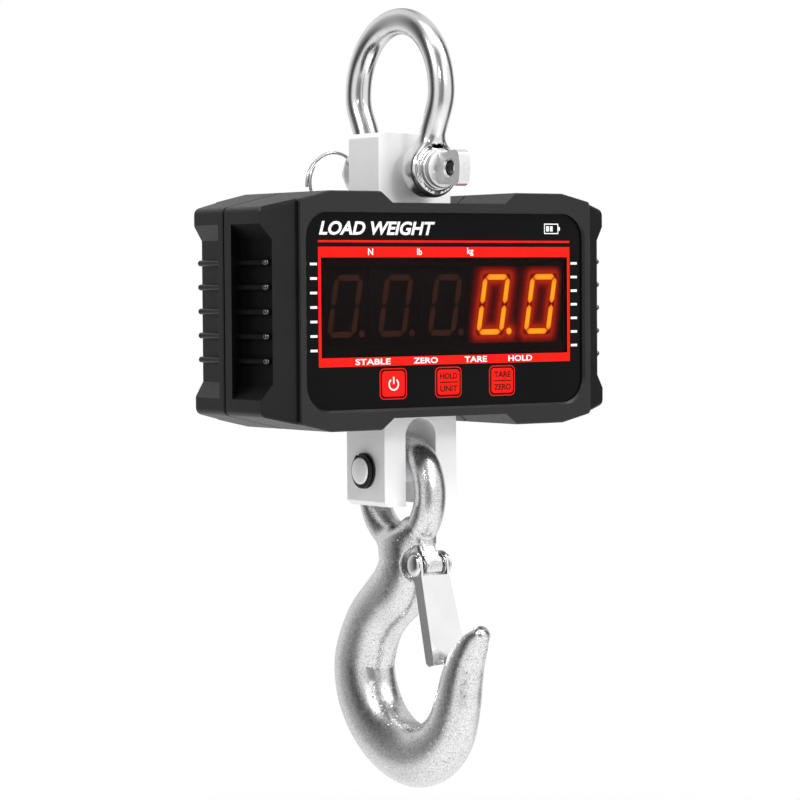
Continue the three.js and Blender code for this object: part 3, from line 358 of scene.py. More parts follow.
def sweep(name, path, radius, sides=12):
    """Round wire along a path of points, without twist."""
    path = np.array(path, float)
    ahead = np.roll(path, -1, 0)
    behind = np.roll(path, 1, 0)
    ahead[-1] = path[-1]
    behind[0] = path[0]
    tangents = ahead - behind
    tangents /= np.linalg.norm(tangents, axis=1)[:, None]
    normal = np.cross(tangents[0], [0.3, 0.5, 0.81])
    rings = []
    for point, tangent in zip(path, tangents):
        normal = normal - tangent * np.dot(normal, tangent)
        normal /= np.linalg.norm(normal)
        other = np.cross(tangent, normal)
        turns = [2 * math.pi * j / sides for j in range(sides)]
        rings.append(
            [tuple(point + radius * (normal * math.cos(t) + other * math.sin(t))) for t in turns]
        )
    return loft(name, rings)


# ---------------------------------------------------------------- smooth forgings from distance fields


def smooth_union(a, b, k):
    h = np.clip(0.5 + 0.5 * (b - a) / k, 0, 1)
    return b + (a - b) * h - k * h * (1 - h)


def smooth_cut(a, b, k):
    """a with b taken away."""
    return -smooth_union(-a, b, k)


def rounded_pair(u, v, radius):
    """Distance to a corner between two half spaces whose distances are u and v, rounded."""
    u = u + radius
    v = v + radius
    outside = np.hypot(np.maximum(u, 0), np.maximum(v, 0))
    return outside + np.minimum(np.maximum(u, v), 0) - radius


def nearest_on_path(path, y, z):
    """Index of the nearest path row for each point of the YZ plane."""
    index = np.empty(len(y), int)
    for start in range(0, len(y), 8000):
        part = slice(start, start + 8000)
        gap = (y[part, None] - path[None, :, 0]) ** 2 + (z[part, None] - path[None, :, 1]) ** 2
        index[part] = gap.argmin(1)
    return np.clip(index, 1, len(path) - 2)


def span_distance(point, a, b):
    """Distance in a plane from each point to the span from a to b."""
    span = b - a
    t = np.clip(((point - a) * span).sum(-1) / (span**2).sum(-1), 0, 1)
    return np.linalg.norm(point - a - span * t[:, None], axis=1)


def gradient(field, points):
    step = 0.02
    slope = np.empty_like(points)
    for axis in range(3):
        shift = np.zeros(3)
        shift[axis] = step
        slope[:, axis] = (field(points + shift) - field(points - shift)) / (2 * step)
    return slope


def places_of(mesh):
    """The vertices of a mesh as rows of millimetres."""
    flat = np.empty(len(mesh.vertices) * 3)
    mesh.vertices.foreach_get("co", flat)
    return flat.reshape(-1, 3) / MM


def forged(name, rough, field, voxel):
    """Turns a rough solid into the exact smooth surface where the field is zero."""
    remesh = rough.modifiers.new("voxels", "REMESH")
    remesh.mode = "VOXEL"
    remesh.voxel_size = voxel * MM
    remesh.adaptivity = 0
    bake(rough)
    rough.name = name
    points = places_of(rough.data)
    for _ in range(6):
        slope = gradient(field, points)
        size = np.maximum((slope**2).sum(1), 0.05)
        points = points - np.clip(field(points) / size, -1.5, 1.5)[:, None] * slope
    rough.data.vertices.foreach_set("co", (points * MM).ravel())
    smooth(rough)
    normals = gradient(field, points)
    normals /= np.maximum(np.linalg.norm(normals, axis=1), 1e-9)[:, None]
    rough.data.normals_split_custom_set_from_vertices(normals.tolist())
    return rough


# ---------------------------------------------------------------- materials


def add_node(tree, kind, *values, operation=None, **sockets):
    """New shader node; values go to its inputs in order and sockets by name, and outputs are linked."""
    node = tree.nodes.new("ShaderNode" + kind)
    if operation:
        node.operation = operation
    pairs = list(zip(node.inputs, values))
    pairs += [(node.inputs[name.replace("_", " ")], value) for name, value in sockets.items()]
    for socket, value in pairs:
        if isinstance(value, bpy.types.NodeSocket):
            tree.links.new(value, socket)
        else:
            socket.default_value = value
    return node


def add_ramp(tree, source, stops, interpolation="LINEAR"):
    """Colour ramp; each stop is its place and a colour or a grey."""
    made = add_node(tree, "ValToRGB", source)
    made.color_ramp.interpolation = interpolation
    spots = made.color_ramp.elements
    while len(spots) < len(stops):
        spots.new(0.5)
    for spot, (place, colour) in zip(spots, stops):
        spot.position = place
        grey = isinstance(colour, (int, float))
        spot.color = (colour, colour, colour, 1) if grey else (*colour, 1)
    return made.outputs["Color"]


class Look:
    """A node material on one Principled shader, patterned in the piece's own coordinates."""

    def __init__(self, name, **sockets):
        self.material = bpy.data.materials.new(name)
        self.material.use_nodes = True
        self.tree = self.material.node_tree
        self.tree.nodes.clear()
        self.shader = self.add("BsdfPrincipled", **sockets)
        self.add("OutputMaterial", self.shader.outputs[0])
        self.place = self.add("TexCoord").outputs["Object"]

    def add(self, kind, *values, **sockets):
        return add_node(self.tree, kind, *values, **sockets)

    def drive(self, socket, source):
        self.tree.links.new(source, self.shader.inputs[socket])

    def noise(self, scale, detail, stretch=None, roughness=0.55):
        vector = self.place
        if stretch:
            vector = self.add("Mapping", Vector=self.place, Scale=stretch).outputs[0]
        made = self.add("TexNoise", Vector=vector, Scale=scale, Detail=detail, Roughness=roughness)
        return made.outputs["Fac"]

    def between(self, source, low, high):
        return add_ramp(self.tree, source, ((0.3, low), (0.7, high)))

    def colour(self, source, dark, light):
        self.drive("Base Color", self.between(source, dark, light))

    def rough(self, source, low, high):
        self.drive("Roughness", self.between(source, low, high))

    def bump(self, source, strength, depth):
        """Adds relief over what is there already."""
        made = self.add("Bump", Strength=strength, Distance=depth * MM, Height=source)
        last = self.shader.inputs["Normal"]
        if last.is_linked:
            self.tree.links.new(last.links[0].from_socket, made.inputs["Normal"])
        self.drive("Normal", made.outputs[0])


def polished_look(name, low, high, tone):
    look = Look(name, Metallic=1.0)
    look.colour(look.noise(60, 2), tone - 0.06, tone)
    look.rough(look.noise(420, 4, (1, 1, 0.15)), low, high)
    look.bump(look.noise(900, 3, (1, 1, 0.2)), 0.02, 0.02)
    return look.material


def bright_look():
    look = Look("bright_steel", Metallic=0.7)
    stops = ((0.35, 0.7), (0.65, 0.76))
    look.drive("Base Color", add_ramp(look.tree, look.noise(300, 2), stops))
    look.rough(look.noise(420, 2, (1, 0.2, 1)), 0.2, 0.26)
    look.bump(look.noise(800, 3), 0.04, 0.02)
    return look.material


def zinc_look():
    look = Look("forged_zinc", Metallic=1.0)
    stops = ((0.4, 0.5), (0.5, 0.7), (0.58, 0.8))
    look.drive("Base Color", add_ramp(look.tree, look.noise(1300, 3, None, 0.7), stops))
    look.rough(look.noise(300, 4), 0.22, 0.3)
    look.bump(look.noise(1300, 3), 0.6, 0.12)
    look.bump(look.noise(220, 2), 0.18, 0.25)
    return look.material


def alloy_look():
    look = Look("machined_alloy", Metallic=0.1)
    look.colour(look.noise(90, 2), (0.95, 0.95, 0.96), (0.98, 0.98, 0.99))
    look.rough(look.noise(700, 4, (1, 1, 0.06)), 0.3, 0.42)
    look.bump(look.noise(1600, 2, (1, 1, 0.05)), 0.08, 0.04)
    return look.material


def dark_metal_look():
    look = Look("black_oxide", Metallic=0.7)
    look.colour(look.noise(500, 4), 0.018, 0.04)
    look.rough(look.noise(300, 3), 0.32, 0.48)
    look.bump(look.noise(1800, 2), 0.1, 0.05)
    return look.material


def plastic_look(name, dark, light, low, high, grain, depth, level=0.5):
    """Moulded plastic or rubber with a leather grain."""
    look = Look(name, Specular_IOR_Level=level)
    look.colour(look.noise(35, 3), dark, light)
    look.rough(look.noise(500, 3), low, high)
    look.bump(look.noise(grain, 2), 0.5, depth)
    cells = look.add("TexVoronoi", Vector=look.place, Scale=grain * 0.8)
    look.bump(cells.outputs["Distance"], 0.3, depth)
    return look.material


def gloss_look():
    look = Look("gloss_black", Specular_IOR_Level=0.06)
    look.colour(look.noise(12, 2), 0.003, 0.005)
    look.rough(look.noise(260, 3), 0.16, 0.24)
    look.bump(look.noise(1500, 2), 0.04, 0.02)
    return look.material


def lens_look():
    look = Look("smoked_lens", Alpha=0.22, Specular_IOR_Level=0.06)
    look.colour(look.noise(14, 2), (0.006, 0.004, 0.004), (0.012, 0.006, 0.006))
    look.rough(look.noise(200, 2), 0.06, 0.12)
    return look.material


def print_look(name, dark, light, glow=0.0):
    """Screen printed ink, which may get a little painted glow in its own colour."""
    look = Look(name, Specular_IOR_Level=0.1)
    ink = look.between(look.noise(240, 4), dark, light)
    look.drive("Base Color", ink)
    if glow:
        # Painted glow: the ink emits a little light in its own colour.
        look.drive("Emission Color", ink)
        look.shader.inputs["Emission Strength"].default_value = glow
    look.rough(look.noise(400, 3), 0.35, 0.5)
    look.bump(look.noise(1900, 2), 0.06, 0.02)
    return look.material


def glow_look(name, strength):
    """Light whose colour is painted on the mesh as the attribute "glow"."""
    look = Look(name, Roughness=0.5, Specular_IOR_Level=0.03, Emission_Strength=strength)
    attribute = look.add("Attribute")
    attribute.attribute_name = "glow"
    look.drive("Emission Color", attribute.outputs["Color"])
    look.colour(look.noise(300, 2), (0.004, 0.003, 0.003), (0.006, 0.004, 0.004))
    return look.material


# Least and most roughness, and tone
STEELS = {
    "polished_steel": (0.16, 0.22, 0.8),
    "sheet_steel": (0.16, 0.26, 0.9),
    "spring_steel": (0.18, 0.3, 0.55),
}
# Dark and light tone, least and most roughness, scale and depth of the grain, and specular level
PLASTICS = {
    "black_housing": (0.004, 0.007, 0.32, 0.42, 2300, 0.07, 0.42),
    # Housing sides: finer grain, and a lower specular level that darkens them as painted shade
    "smooth_side": (0.004, 0.007, 0.3, 0.4, 2300, 0.03, 0.29),
    # Grip recesses: darker and less reflective than the housing plastic, as painted shade
    "grip_well": (0.001, 0.002, 0.45, 0.6, 2300, 0.07, 0.07),
    # Rib noses: the housing plastic with a raised specular level, a painted highlight for glints
    "rib_gloss": (0.004, 0.007, 0.1, 0.16, 1800, 0.02, 0.9),
    "black_rubber": (0.01, 0.016, 0.7, 0.85, 1500, 0.06, 0.3),
    "digit": ((0.004, 0.003, 0.003), (0.006, 0.004, 0.004), 0.45, 0.6, 1800, 0.03, 0.05),
    "circuit_board": ((0.012, 0.09, 0.03), (0.02, 0.14, 0.05), 0.3, 0.45, 900, 0.05),
    "battery_wrap": ((0.03, 0.06, 0.14), (0.05, 0.09, 0.2), 0.35, 0.5, 700, 0.05),
}
# Dark and light ink, and painted glow
PRINTS = {
    "digit_bar": ((0.05, 0.015, 0.007), (0.065, 0.02, 0.01)),
    "red_print": ((0.78, 0.006, 0.002), (0.88, 0.01, 0.004), 0.1),
    "red_key": ((0.72, 0.006, 0.003), (0.82, 0.01, 0.005), 0.1),
    "white_print": (0.82, 0.95),
    "dark_print": ((0.03, 0.003, 0.002), (0.05, 0.005, 0.003)),
}
LOOKS = {
    "bright_steel": bright_look(),
    "forged_zinc": zinc_look(),
    "machined_alloy": alloy_look(),
    "black_oxide": dark_metal_look(),
    "gloss_black": gloss_look(),
    "smoked_lens": lens_look(),
    "lit_bar": glow_look("lit_bar", 1.6),
    "halo": glow_look("halo", 1.0),
}
for maker, rows in ((polished_look, STEELS), (plastic_look, PLASTICS), (print_look, PRINTS)):
    LOOKS.update({name: maker(name, *row) for name, row in rows.items()})


# ---------------------------------------------------------------- shackle


def bow_path():
    """Rows of Y and Z along the rod's middle line, from eye to eye over the crown."""
    ends = [(EYE_Y, PIN_Z + 2), (EYE_Y, PIN_Z + 23), (BOW_R, PIN_Z + 27), (BOW_R, BOW_MID_Z)]
    a, b, c, d = np.array(ends, float)
    leg = []
    for t in np.linspace(0, 1, 60, endpoint=False):
        s = 1 - t
        leg.append(s**3 * a + 3 * s * s * t * b + 3 * s * t * t * c + t**3 * d)
    arc = [polar(BOW_R, turn, 0, BOW_MID_Z) for turn in np.linspace(0, math.pi / 2, 60)]
    half = np.array([*leg, *arc])
    return np.vstack([half, half[:-1][::-1] * [-1, 1]])


BOW_PATH = bow_path()


def path_distance(path, y, z):
    """Distance in the YZ plane to a path of rows, exact along its spans."""
    index = nearest_on_path(path, y, z)
    point = np.stack([y, z], 1)
    behind = span_distance(point, path[index - 1], path[index])
    return np.minimum(behind, span_distance(point, path[index], path[index + 1]))


def bow_field(p):
    x, y, z = p.T
    rod = np.hypot(path_distance(BOW_PATH, y, z), x) - ROD_R
    radial = np.hypot(x, z - PIN_Z)
    aside = np.abs(np.abs(y) - EYE_Y)
    eye = rounded_pair(radial - EYE_R, aside - EYE_HALF, 3.6)
    body = smooth_union(rod, eye, 5.0)
    valley = np.hypot(radial - 11.4, aside - EYE_HALF) - 0.75
    body = smooth_cut(body, valley, 0.5)
    return smooth_cut(body, radial - (PIN_R + GAP), 0.4)


def make_bow():
    rough = sweep("bow_rough", [(0, y, z) for y, z in BOW_PATH], ROD_R, 16)
    for middle in (EYE_Y, -EYE_Y):
        join(rough, cylinder(EYE_R, middle - EYE_HALF, middle + EYE_HALF, "Y", (0, PIN_Z), 48))
    cut(rough, cylinder(PIN_R + GAP, -60, 60, "Y", (0, PIN_Z), 32))
    settle(forged("bow_forging", rough, bow_field, 0.65), "shackle", "polished_steel", "shackle_bow")


# The walls of the tab's through hole, which take the dark black oxide look as painted shade.
def in_shaded_tab_hole(p, _):
    return abs(p.x) < 2.4 and math.hypot(p.y - TAB_HOLE_Y, p.z - PIN_Z) < TAB_HOLE_R + 0.5


def make_pin():
    back = -EYE_Y - EYE_HALF - GAP
    profile = [
        (PIN_R - 1.2, TAIL_Y),
        (PIN_R, TAIL_Y - 1.2),
        (PIN_R, back),
        (COLLAR_R - 0.9, back),
        (COLLAR_R, back - 0.9),
        (COLLAR_R, back - 1.9),
        (COLLAR_R - 1.1, back - 2.2),
        (COLLAR_R - 1.1, back - 2.9),
        (COLLAR_R - 0.5, back - 3.3),
        (COLLAR_R - 0.9, TAB_Y + 0.9),
        (COLLAR_R - 3.6, TAB_Y + 0.2),
        (COLLAR_R - 6, TAB_Y),
    ]
    pin = lathe("pin_turned", profile, "Y", (0, PIN_Z), 72)
    rows = [(-37, 7.6), (-43, 7.7), (-47, 8.4), (-50.5, 8.7), (-53.2, 7.4), (-54.2, 4), (-54.6, 0)]
    edge = catmull(rows, 6)
    outline = [(y, PIN_Z + z) for y, z in edge] + [(y, PIN_Z - z) for y, z in edge[:-1][::-1]]
    tools = [cylinder(TAB_HOLE_R, -10, 10, "X", (TAB_HOLE_Y, PIN_Z))]
    for side in (1, -1):
        rows = [(TAB_HOLE_R, side * 2.4), (5.2, side * 3.8)]
        tools.append(lathe("sink", rows, "X", (TAB_HOLE_Y, PIN_Z), 40))
    join(pin, prism_x("tab", outline, -TAB_HALF, TAB_HALF))
    cut(pin, *tools)
    sin, cos = math.sin(RING_LEAN), math.cos(RING_LEAN)
    line = [(-sin * s, RING_Y, PIN_Z + cos * s) for s in (-15, 15)]
    cut(pin, sweep("ring_hole", line, 1.8, 24))
    dress(pin, "shackle", "polished_steel", "shackle_pin", 0.45, look="bright_steel")
    # Painted shade: the walls of the tab's hole take the dark black oxide look.
    tint(pin, "black_oxide", in_shaded_tab_hole)


def make_ring():
    """Wire ring through the pin's tail, whose ends pass each other."""
    along = np.array([math.cos(RING_LEAN), 0, math.sin(RING_LEAN)])
    up = np.array([-math.sin(RING_LEAN), 0, math.cos(RING_LEAN)])
    centre = np.array([0, RING_Y, PIN_Z]) - (RING_R - 0.6) * along
    total = 2 * math.pi + math.radians(42)
    path = []
    for t in np.linspace(0, 1, 120):
        turn = math.radians(128) + total * t
        shift = 0.6 * math.copysign(abs(2 * t - 1) ** 3, 2 * t - 1)
        reach = RING_R + 1.5 * max(0, (t - 0.86) / 0.14) ** 0.7
        path.append(centre + reach * (along * math.cos(turn) + up * math.sin(turn)) + (0, shift, 0))
    settle(smooth(sweep("ring_wire", path, 0.8)), "safety_ring", "spring_steel", "safety_ring")


make_bow()
make_pin()
make_ring()


# ---------------------------------------------------------------- load cell, hook pin and its retainers


def make_cell():
    c, low = BLOCK_CHAMFER, BLOCK_BOTTOM
    fork_x, fork_y, base = CLEVIS
    x, depth, top = LUG
    outline = [(-x, base), (x, base), (x, top - c), (x - c, top), (-x + c, top), (-x, top - c)]
    cell = prism_y("cell_block", outline, -depth, depth)
    x, top = fork_x, base - 0.01
    outline = [(-x, top), (-x, low + c), (-x + c, low), (x - c, low), (x, low + c), (x, top)]
    join(cell, prism_y("clevis", outline, -fork_y, fork_y))
    arch = [polar(SLOT_HALF, math.pi * i / 32, 0, SLOT_TOP - SLOT_HALF) for i in range(33)]
    slot = [(SLOT_HALF, low - 5), *arch, (-SLOT_HALF, low - 5)]
    cut(
        cell,
        prism_y("slot", slot, -30, 30),
        cylinder(PIN_R + GAP, -30, 30, "Y", (0, PIN_Z), 56),
        cylinder(HOOK_PIN_R + GAP, -30, 30, "X", (0, HOOK_Z), 56),
        cylinder(9, -20, 20, "Y", (0, CASE_Z), 48),
        block("upper_slit", -12, 30, -20, 20, CASE_Z + 14.5, CASE_Z + 17.5),
        block("lower_slit", -30, 12, -20, 20, CASE_Z - 17.5, CASE_Z - 14.5),
    )
    dress(cell, "scale", "machined_alloy", "load_cell", 0.35)


def turned_pair(name, half, centre, segments):
    """Turned piece along X; its right half is given and its left half mirrors it."""
    return lathe(name, [(radius, -x) for radius, x in half[::-1]] + half, "X", centre, segments)


def make_hook_pin():
    radius, end = HOOK_PIN_R, HOOK_PIN_HALF
    half = [
        (radius, 23.7),
        (5, 23.7),
        (5, 25.1),
        (radius, 25.1),
        (radius, end - 1.3),
        (radius - 0.3, end - 0.9),
        (radius - 1.6, end - 0.5),
        (radius - 3.6, end - 0.15),
        (0.8, end),
    ]
    pin = turned_pair("hook_pin_turned", half, (0, HOOK_Z), 64)
    dress(pin, "scale", "polished_steel", "hook_pin", 0.15, look="machined_alloy")
    for name, side in SIDES:
        near, far = side * 22.3, side * 23.3
        rows = [(6.9, near), (8.9, near), (8.9, far), (6.9, far), (6.9, near)]
        washer = lathe("washer_" + name, rows, "X", (0, HOOK_Z))
        dress(washer, "scale", "black_oxide", "pin_washer_" + name, 0.15)
        dress(snap_ring("clip_" + name, side * 24.4), "scale", "black_oxide", "pin_clip_" + name, 0.12)


def snap_ring(name, x):
    """C-shaped ring with two small ears, in the pin's groove."""
    gap = math.radians(7)
    outer = []
    inner = []
    for i in range(61):
        t = i / 60
        turn = math.radians(70) + gap + (2 * math.pi - 2 * gap) * t
        ear = 0.0 if min(t, 1 - t) > 0.035 else 1.0
        outer.append(polar(8.2 + 0.5 * math.sin(math.pi * t) + 0.5 * ear, turn, 0, HOOK_Z))
        inner.append(polar(5.3, turn, 0, HOOK_Z))
    return prism_x(name, outer + inner[::-1], x - 0.4, x + 0.4)


make_cell()
make_hook_pin()


# ---------------------------------------------------------------- housing

RIB_PLACES = [CASE_Z + RIB_PITCH * (i - RIB_COUNT // 2) for i in range(RIB_COUNT)]


def four_way(quarter):
    """Closed outline about the housing's middle, from its upper right quarter."""
    right = quarter + [(x, -z) for x, z in quarter[::-1]]
    return [(x, CASE_Z + z) for x, z in right + [(-x, -z) for x, z in right]]


def case_ring(y, half_w, inset, radius):
    """Outline of the housing at one depth, with sloped shoulders and round corners."""
    slope = math.atan(SHOULDER_SLOPE)
    centre_x = half_w - radius
    drop = SHOULDER_SLOPE * (centre_x - SHOULDER_X) + radius / math.cos(slope)
    centre_z = CASE_HALF_H - inset - drop
    quarter = [(SHOULDER_X, CASE_HALF_H - inset)]
    for i in range(9):
        quarter.append(polar(radius, (math.pi / 2 - slope) * (1 - i / 8), centre_x, centre_z))
    return [(x, y, z) for x, z in four_way(quarter)]


def cavity(low, high):
    """The hollow of a shell, lower beside the notches."""
    roof = 54.4
    quarter = [(37, 48.9), (44.5, roof), (69, roof), (93, roof - SHOULDER_SLOPE * 24)]
    return prism_y("cavity", four_way(quarter), low, high)


def notch(side):
    """Wide notch in the housing's top or bottom, where the block comes out."""
    floor = CASE_Z + side * 51.9
    outer = floor + side * 8
    return prism_y("notch", [(-34, floor), (34, floor), (44.2, outer), (-44.2, outer)], -60, 60)


def grip(side, low, high):
    """Hand grip cut into one side, with sloped ends."""
    spread = (GRIP_H - WAIST_H) / (BUMPER_W - WAIST_W)
    reach = 20
    outer = WAIST_H + spread * reach
    near = side * WAIST_W
    far = side * (WAIST_W + reach)
    places = ((near, -WAIST_H), (far, -outer), (far, outer), (near, WAIST_H))
    return prism_y("grip", [(x, CASE_Z + z) for x, z in places], low, high)


def openings(low, high):
    """Tools that both shells share; the hand grips run from low to high."""
    return [
        notch(1),
        notch(-1),
        block("upper_way", -22.4, 22.4, -13.7, 13.7, CASE_Z + 40, CASE_Z + 60),
        block("lower_way", -22.6, 22.6, -17.1, 17.1, CASE_Z - 60, CASE_Z - 40),
        grip(1, low, high),
        grip(-1, low, high),
    ]


def ribs(low, high):
    made = []
    for side in (1, -1):
        root = side * (WAIST_W - 1)
        tip = side * (RIB_TIP_X - RIB_HALF)
        for z in RIB_PLACES:
            outline = [(root, z - RIB_HALF)]
            for j in range(9):
                out, up = polar(RIB_HALF, math.pi * (j / 8 - 0.5))
                outline.append((tip + side * out, z + up))
            outline.append((root, z + RIB_HALF))
            made.append(prism_y("rib", outline, low, high))
    return made


def on_side(p, normal):
    """The smooth sides of the housing, left and right of the display plate, which get a finer grain and,
    as painted shade, a lower specular level.
    """
    return abs(p.x) > PLATE_W - 1 and abs(normal.x) > 0.3


def in_grip(p, normal):
    """The hand grips with their ribs, sloped ends and back walls, but not the flare they cut into; they
    get painted shade.
    """
    low = WAIST_W - 1.5 < abs(p.x) < BUMPER_W - 0.6
    flare = 0.5 < abs(normal.y) < 0.98
    return low and abs(p.z - CASE_Z) < GRIP_H and not flare


def label_recess():
    lip = 1.1
    rings = []
    for y, grow in ((FRONT_Y - 1, lip + 1), (FRONT_Y, lip), (FRONT_Y + lip, 0), (LABEL_SEAT_Y, 0)):
        size = (LABEL_W + GAP + grow, LABEL_H + GAP + grow, LABEL_R + grow)
        rings.append([(x, y, z) for x, z in rounded(0, CASE_Z, *size, 16)])
    return loft("label_recess", rings)


def key_holes():
    size = (BUTTON_W + GAP, BUTTON_H + GAP, 2)
    return [prism_y("key_hole", rounded(x, BUTTON_Z, *size), -50, -30) for _, x in BUTTONS]


def make_front():
    rows = [
        (FRONT_Y, PLATE_W - 0.6, 0.6, PLATE_R),
        (FRONT_Y + 0.6, PLATE_W, 0, PLATE_R),
        (FRONT_Y + 1.3, PLATE_W, 0, PLATE_R),
        (FRONT_Y + 1.4, PLATE_W - 0.7, 0, PLATE_R),
        (FRONT_Y + 2.1, PLATE_W - 0.7, 0, PLATE_R),
        (FRONT_Y + 2.2, PLATE_W, 0, PLATE_R),
        (FRONT_FLARE_Y, PLATE_W, 0, PLATE_R),
        (FRONT_BUMPER_Y, BUMPER_W - 0.5, 0, BUMPER_R),
        (FRONT_BUMPER_Y + 0.6, BUMPER_W, 0, BUMPER_R),
        (-SEAM - 0.5, BUMPER_W, 0, BUMPER_R),
        (-SEAM, BUMPER_W - 0.4, 0.4, BUMPER_R),
    ]
    shell = loft("front_housing", [case_ring(*row) for row in rows])
    cut(
        shell,
        cavity(FRONT_WALL_Y, 5),
        *openings(-60, GRIP_FRONT_Y),
        label_recess(),
        block("display_hole", -73.9, 73.9, -50, -30, DIGIT_Z - 19.5, DIGIT_Z + 19.5),
        *key_holes(),
    )
    join(shell, *ribs(FRONT_BUMPER_Y + 1.2, GRIP_FRONT_Y + 0.5))
    dress(shell, "scale", "black_housing", "front_shell", 0.35, 28)
    # The sides get a finer grain, and painted shade from a lower specular level.
    tint(shell, "smooth_side", on_side)
    # Painted shade: the grip recesses get a darker, less reflective copy of the housing plastic.
    tint(shell, "grip_well", in_grip)


def make_noses():
    """Rounded glossy noses on the front ends of the ribs, in a copy of the housing plastic with a raised
    specular level, a painted highlight that makes them glint.
    """
    rows = []
    for j in range(13):
        along, radius = polar(1, math.pi * j / 12)
        rows.append((max((RIB_HALF + 0.12) * radius, 0.05), FRONT_BUMPER_Y + 1.0 - 1.9 * along))
    for name, side in SIDES:
        x = side * (RIB_TIP_X - RIB_HALF)
        noses = [lathe("rib_noses_" + name, rows, "Y", (x, z), 20) for z in RIB_PLACES]
        for nose in noses[1:]:
            merged(noses[0], nose)
        # Painted highlight: the noses reflect more than the housing plastic they stand for.
        settle(smooth(noses[0]), "scale", "black_housing", look="rib_gloss")


def drills(radius, low, high, places):
    """Round tools along Y, one at each place."""
    return [cylinder(radius, low, high, "Y", place) for place in places]


def make_rear():
    rows = [
        (SEAM, BUMPER_W - 0.4, 0.4, BUMPER_R),
        (SEAM + 0.5, BUMPER_W, 0, BUMPER_R),
        (REAR_BUMPER_Y - 0.6, BUMPER_W, 0, BUMPER_R),
        (REAR_BUMPER_Y, BUMPER_W - 0.5, 0, BUMPER_R),
        (REAR_FLARE_Y, PLATE_W, 0, PLATE_R),
        (REAR_Y - 0.6, PLATE_W, 0, PLATE_R),
        (REAR_Y, PLATE_W - 0.6, 0.6, PLATE_R),
    ]
    shell = loft("rear_housing", [case_ring(*row) for row in rows])
    hollow = cavity(-5, REAR_WALL_Y)
    posts = [cylinder(6, 13.4, 31, "Y", place, 32) for place in CELL_SCREWS]
    cut(hollow, *drills(7, 0, 31, CASE_SCREWS), *posts)
    x, z, half_w, half_h = DOOR
    bed = rounded(x, z, half_w + GAP, half_h + GAP, 4)
    cut(
        shell,
        hollow,
        *openings(GRIP_REAR_Y, 60),
        prism_y("door_bed", bed, REAR_Y - 2.5, 40),
        block("doorway", x - half_w + 5, x + half_w - 5, 20, 40, z - half_h + 9, z + half_h - 9),
        *drills(4.6, 12, 40, CASE_SCREWS),
        *drills(2.4, -5, 30, CASE_SCREWS),
        *drills(4.6, REAR_WALL_Y, 40, CELL_SCREWS),
        *drills(2.3, 10, 40, CELL_SCREWS),
        *drills(1.8, 20, 40, DOOR_SCREWS),
        *drills(8.3, 20, 40, [SOCKET]),
    )
    join(shell, *ribs(GRIP_REAR_Y - 0.5, REAR_BUMPER_Y + 0.4))
    dress(shell, "scale", "black_housing", "rear_shell", 0.35, 28)
    # The sides get a finer grain, and painted shade from a lower specular level.
    tint(shell, "smooth_side", on_side)


def make_door():
    x, z, half_w, half_h = DOOR
    door = prism_y("battery_cover", rounded(x, z, half_w, half_h, 3.7), REAR_Y - 2.2, REAR_Y)
    grooves = [
        block("groove", x - 9, x + 9, REAR_Y - 0.5, 40, z + 1.6 * i - 0.4, z + 1.6 * i + 0.4)
        for i in range(-5, 6)
    ]
    seats = drills(3.6, REAR_Y - 1.2, 40, DOOR_SCREWS)
    cut(door, *grooves, *drills(1.8, 20, 40, DOOR_SCREWS), *seats)
    dress(door, "scale", "black_housing", "battery_door", 0.2)


def make_screw(name, place, rows, recess, node):
    """Turned screw with a cross recess in its head, which faces +Y."""
    made = lathe(name, rows, "Y", place, 40)
    x, z = place
    top = rows[-1][1]
    reach, half, depth = recess
    arms = ((reach, half), (half, reach))
    low, high = top - depth, top + 1
    cut(made, *[block("arm", x - u, x + u, low, high, z - v, z + v) for u, v in arms])
    dress(made, "scale", "black_oxide", node, 0.1)


def make_screws():
    seat = REAR_Y - 1.05
    case_rows = [(1.9, -14), (1.9, 12.3), (4, 12.3), (4, 13.9), (3.4, 14.6), (2.6, 14.9)]
    door_rows = [(1.4, seat - 4.6), (1.4, seat), (3.2, seat), (2.9, seat + 0.7), (2.2, seat + 0.9)]
    cell_rows = [(1.5, 3.2), (1.5, 29.15), (4, 29.15), (3.7, 29.8), (2.8, 30.05)]
    for name, node, places, rows, recess in (
        ("housing", "case", CASE_SCREWS, case_rows, (2, 0.4, 1.2)),
        ("cover", "door", DOOR_SCREWS, door_rows, (1.6, 0.3, 0.6)),
        ("post", "cell", CELL_SCREWS, cell_rows, (1.9, 0.35, 0.6)),
    ):
        for i, place in enumerate(places, 1):
            make_screw(f"{name}_screw_{i}", place, rows, recess, f"{node}_screw_{i}")


def make_plug():
    rows = [
        (4.9, 27),
        (5.1, REAR_Y - 1.1),
        (7.7, REAR_Y - 1.1),
        (7.7, REAR_Y - 0.3),
        (7.4, REAR_Y),
        (6.2, REAR_Y),
        (5.8, REAR_Y - 0.5),
        (4.6, REAR_Y - 0.5),
        (4.2, REAR_Y),
    ]
    plug = lathe("rubber_plug", rows, "Y", SOCKET, 56)
    dress(plug, "scale", "black_rubber", "socket_plug", 0.1)


make_front()
make_noses()
make_rear()
make_door()
make_screws()
make_plug()


# ---------------------------------------------------------------- display face

INK = 0.04
PRINT_Y = LABEL_Y - 0.05
WORD_Y = PRINT_Y - 0.05
KEY_PRINT_Y = LABEL_Y - 0.45
PRINT_Z = -123.5
FRAME_X = 76.1
FRAME_IN_X = 74.5
DOT_R = 1.7
DOT_X = DIGIT_W + 1.2
DOT_Z = DIGIT_Z - DIGIT_H + DOT_R
HALO_X = (12, 74)


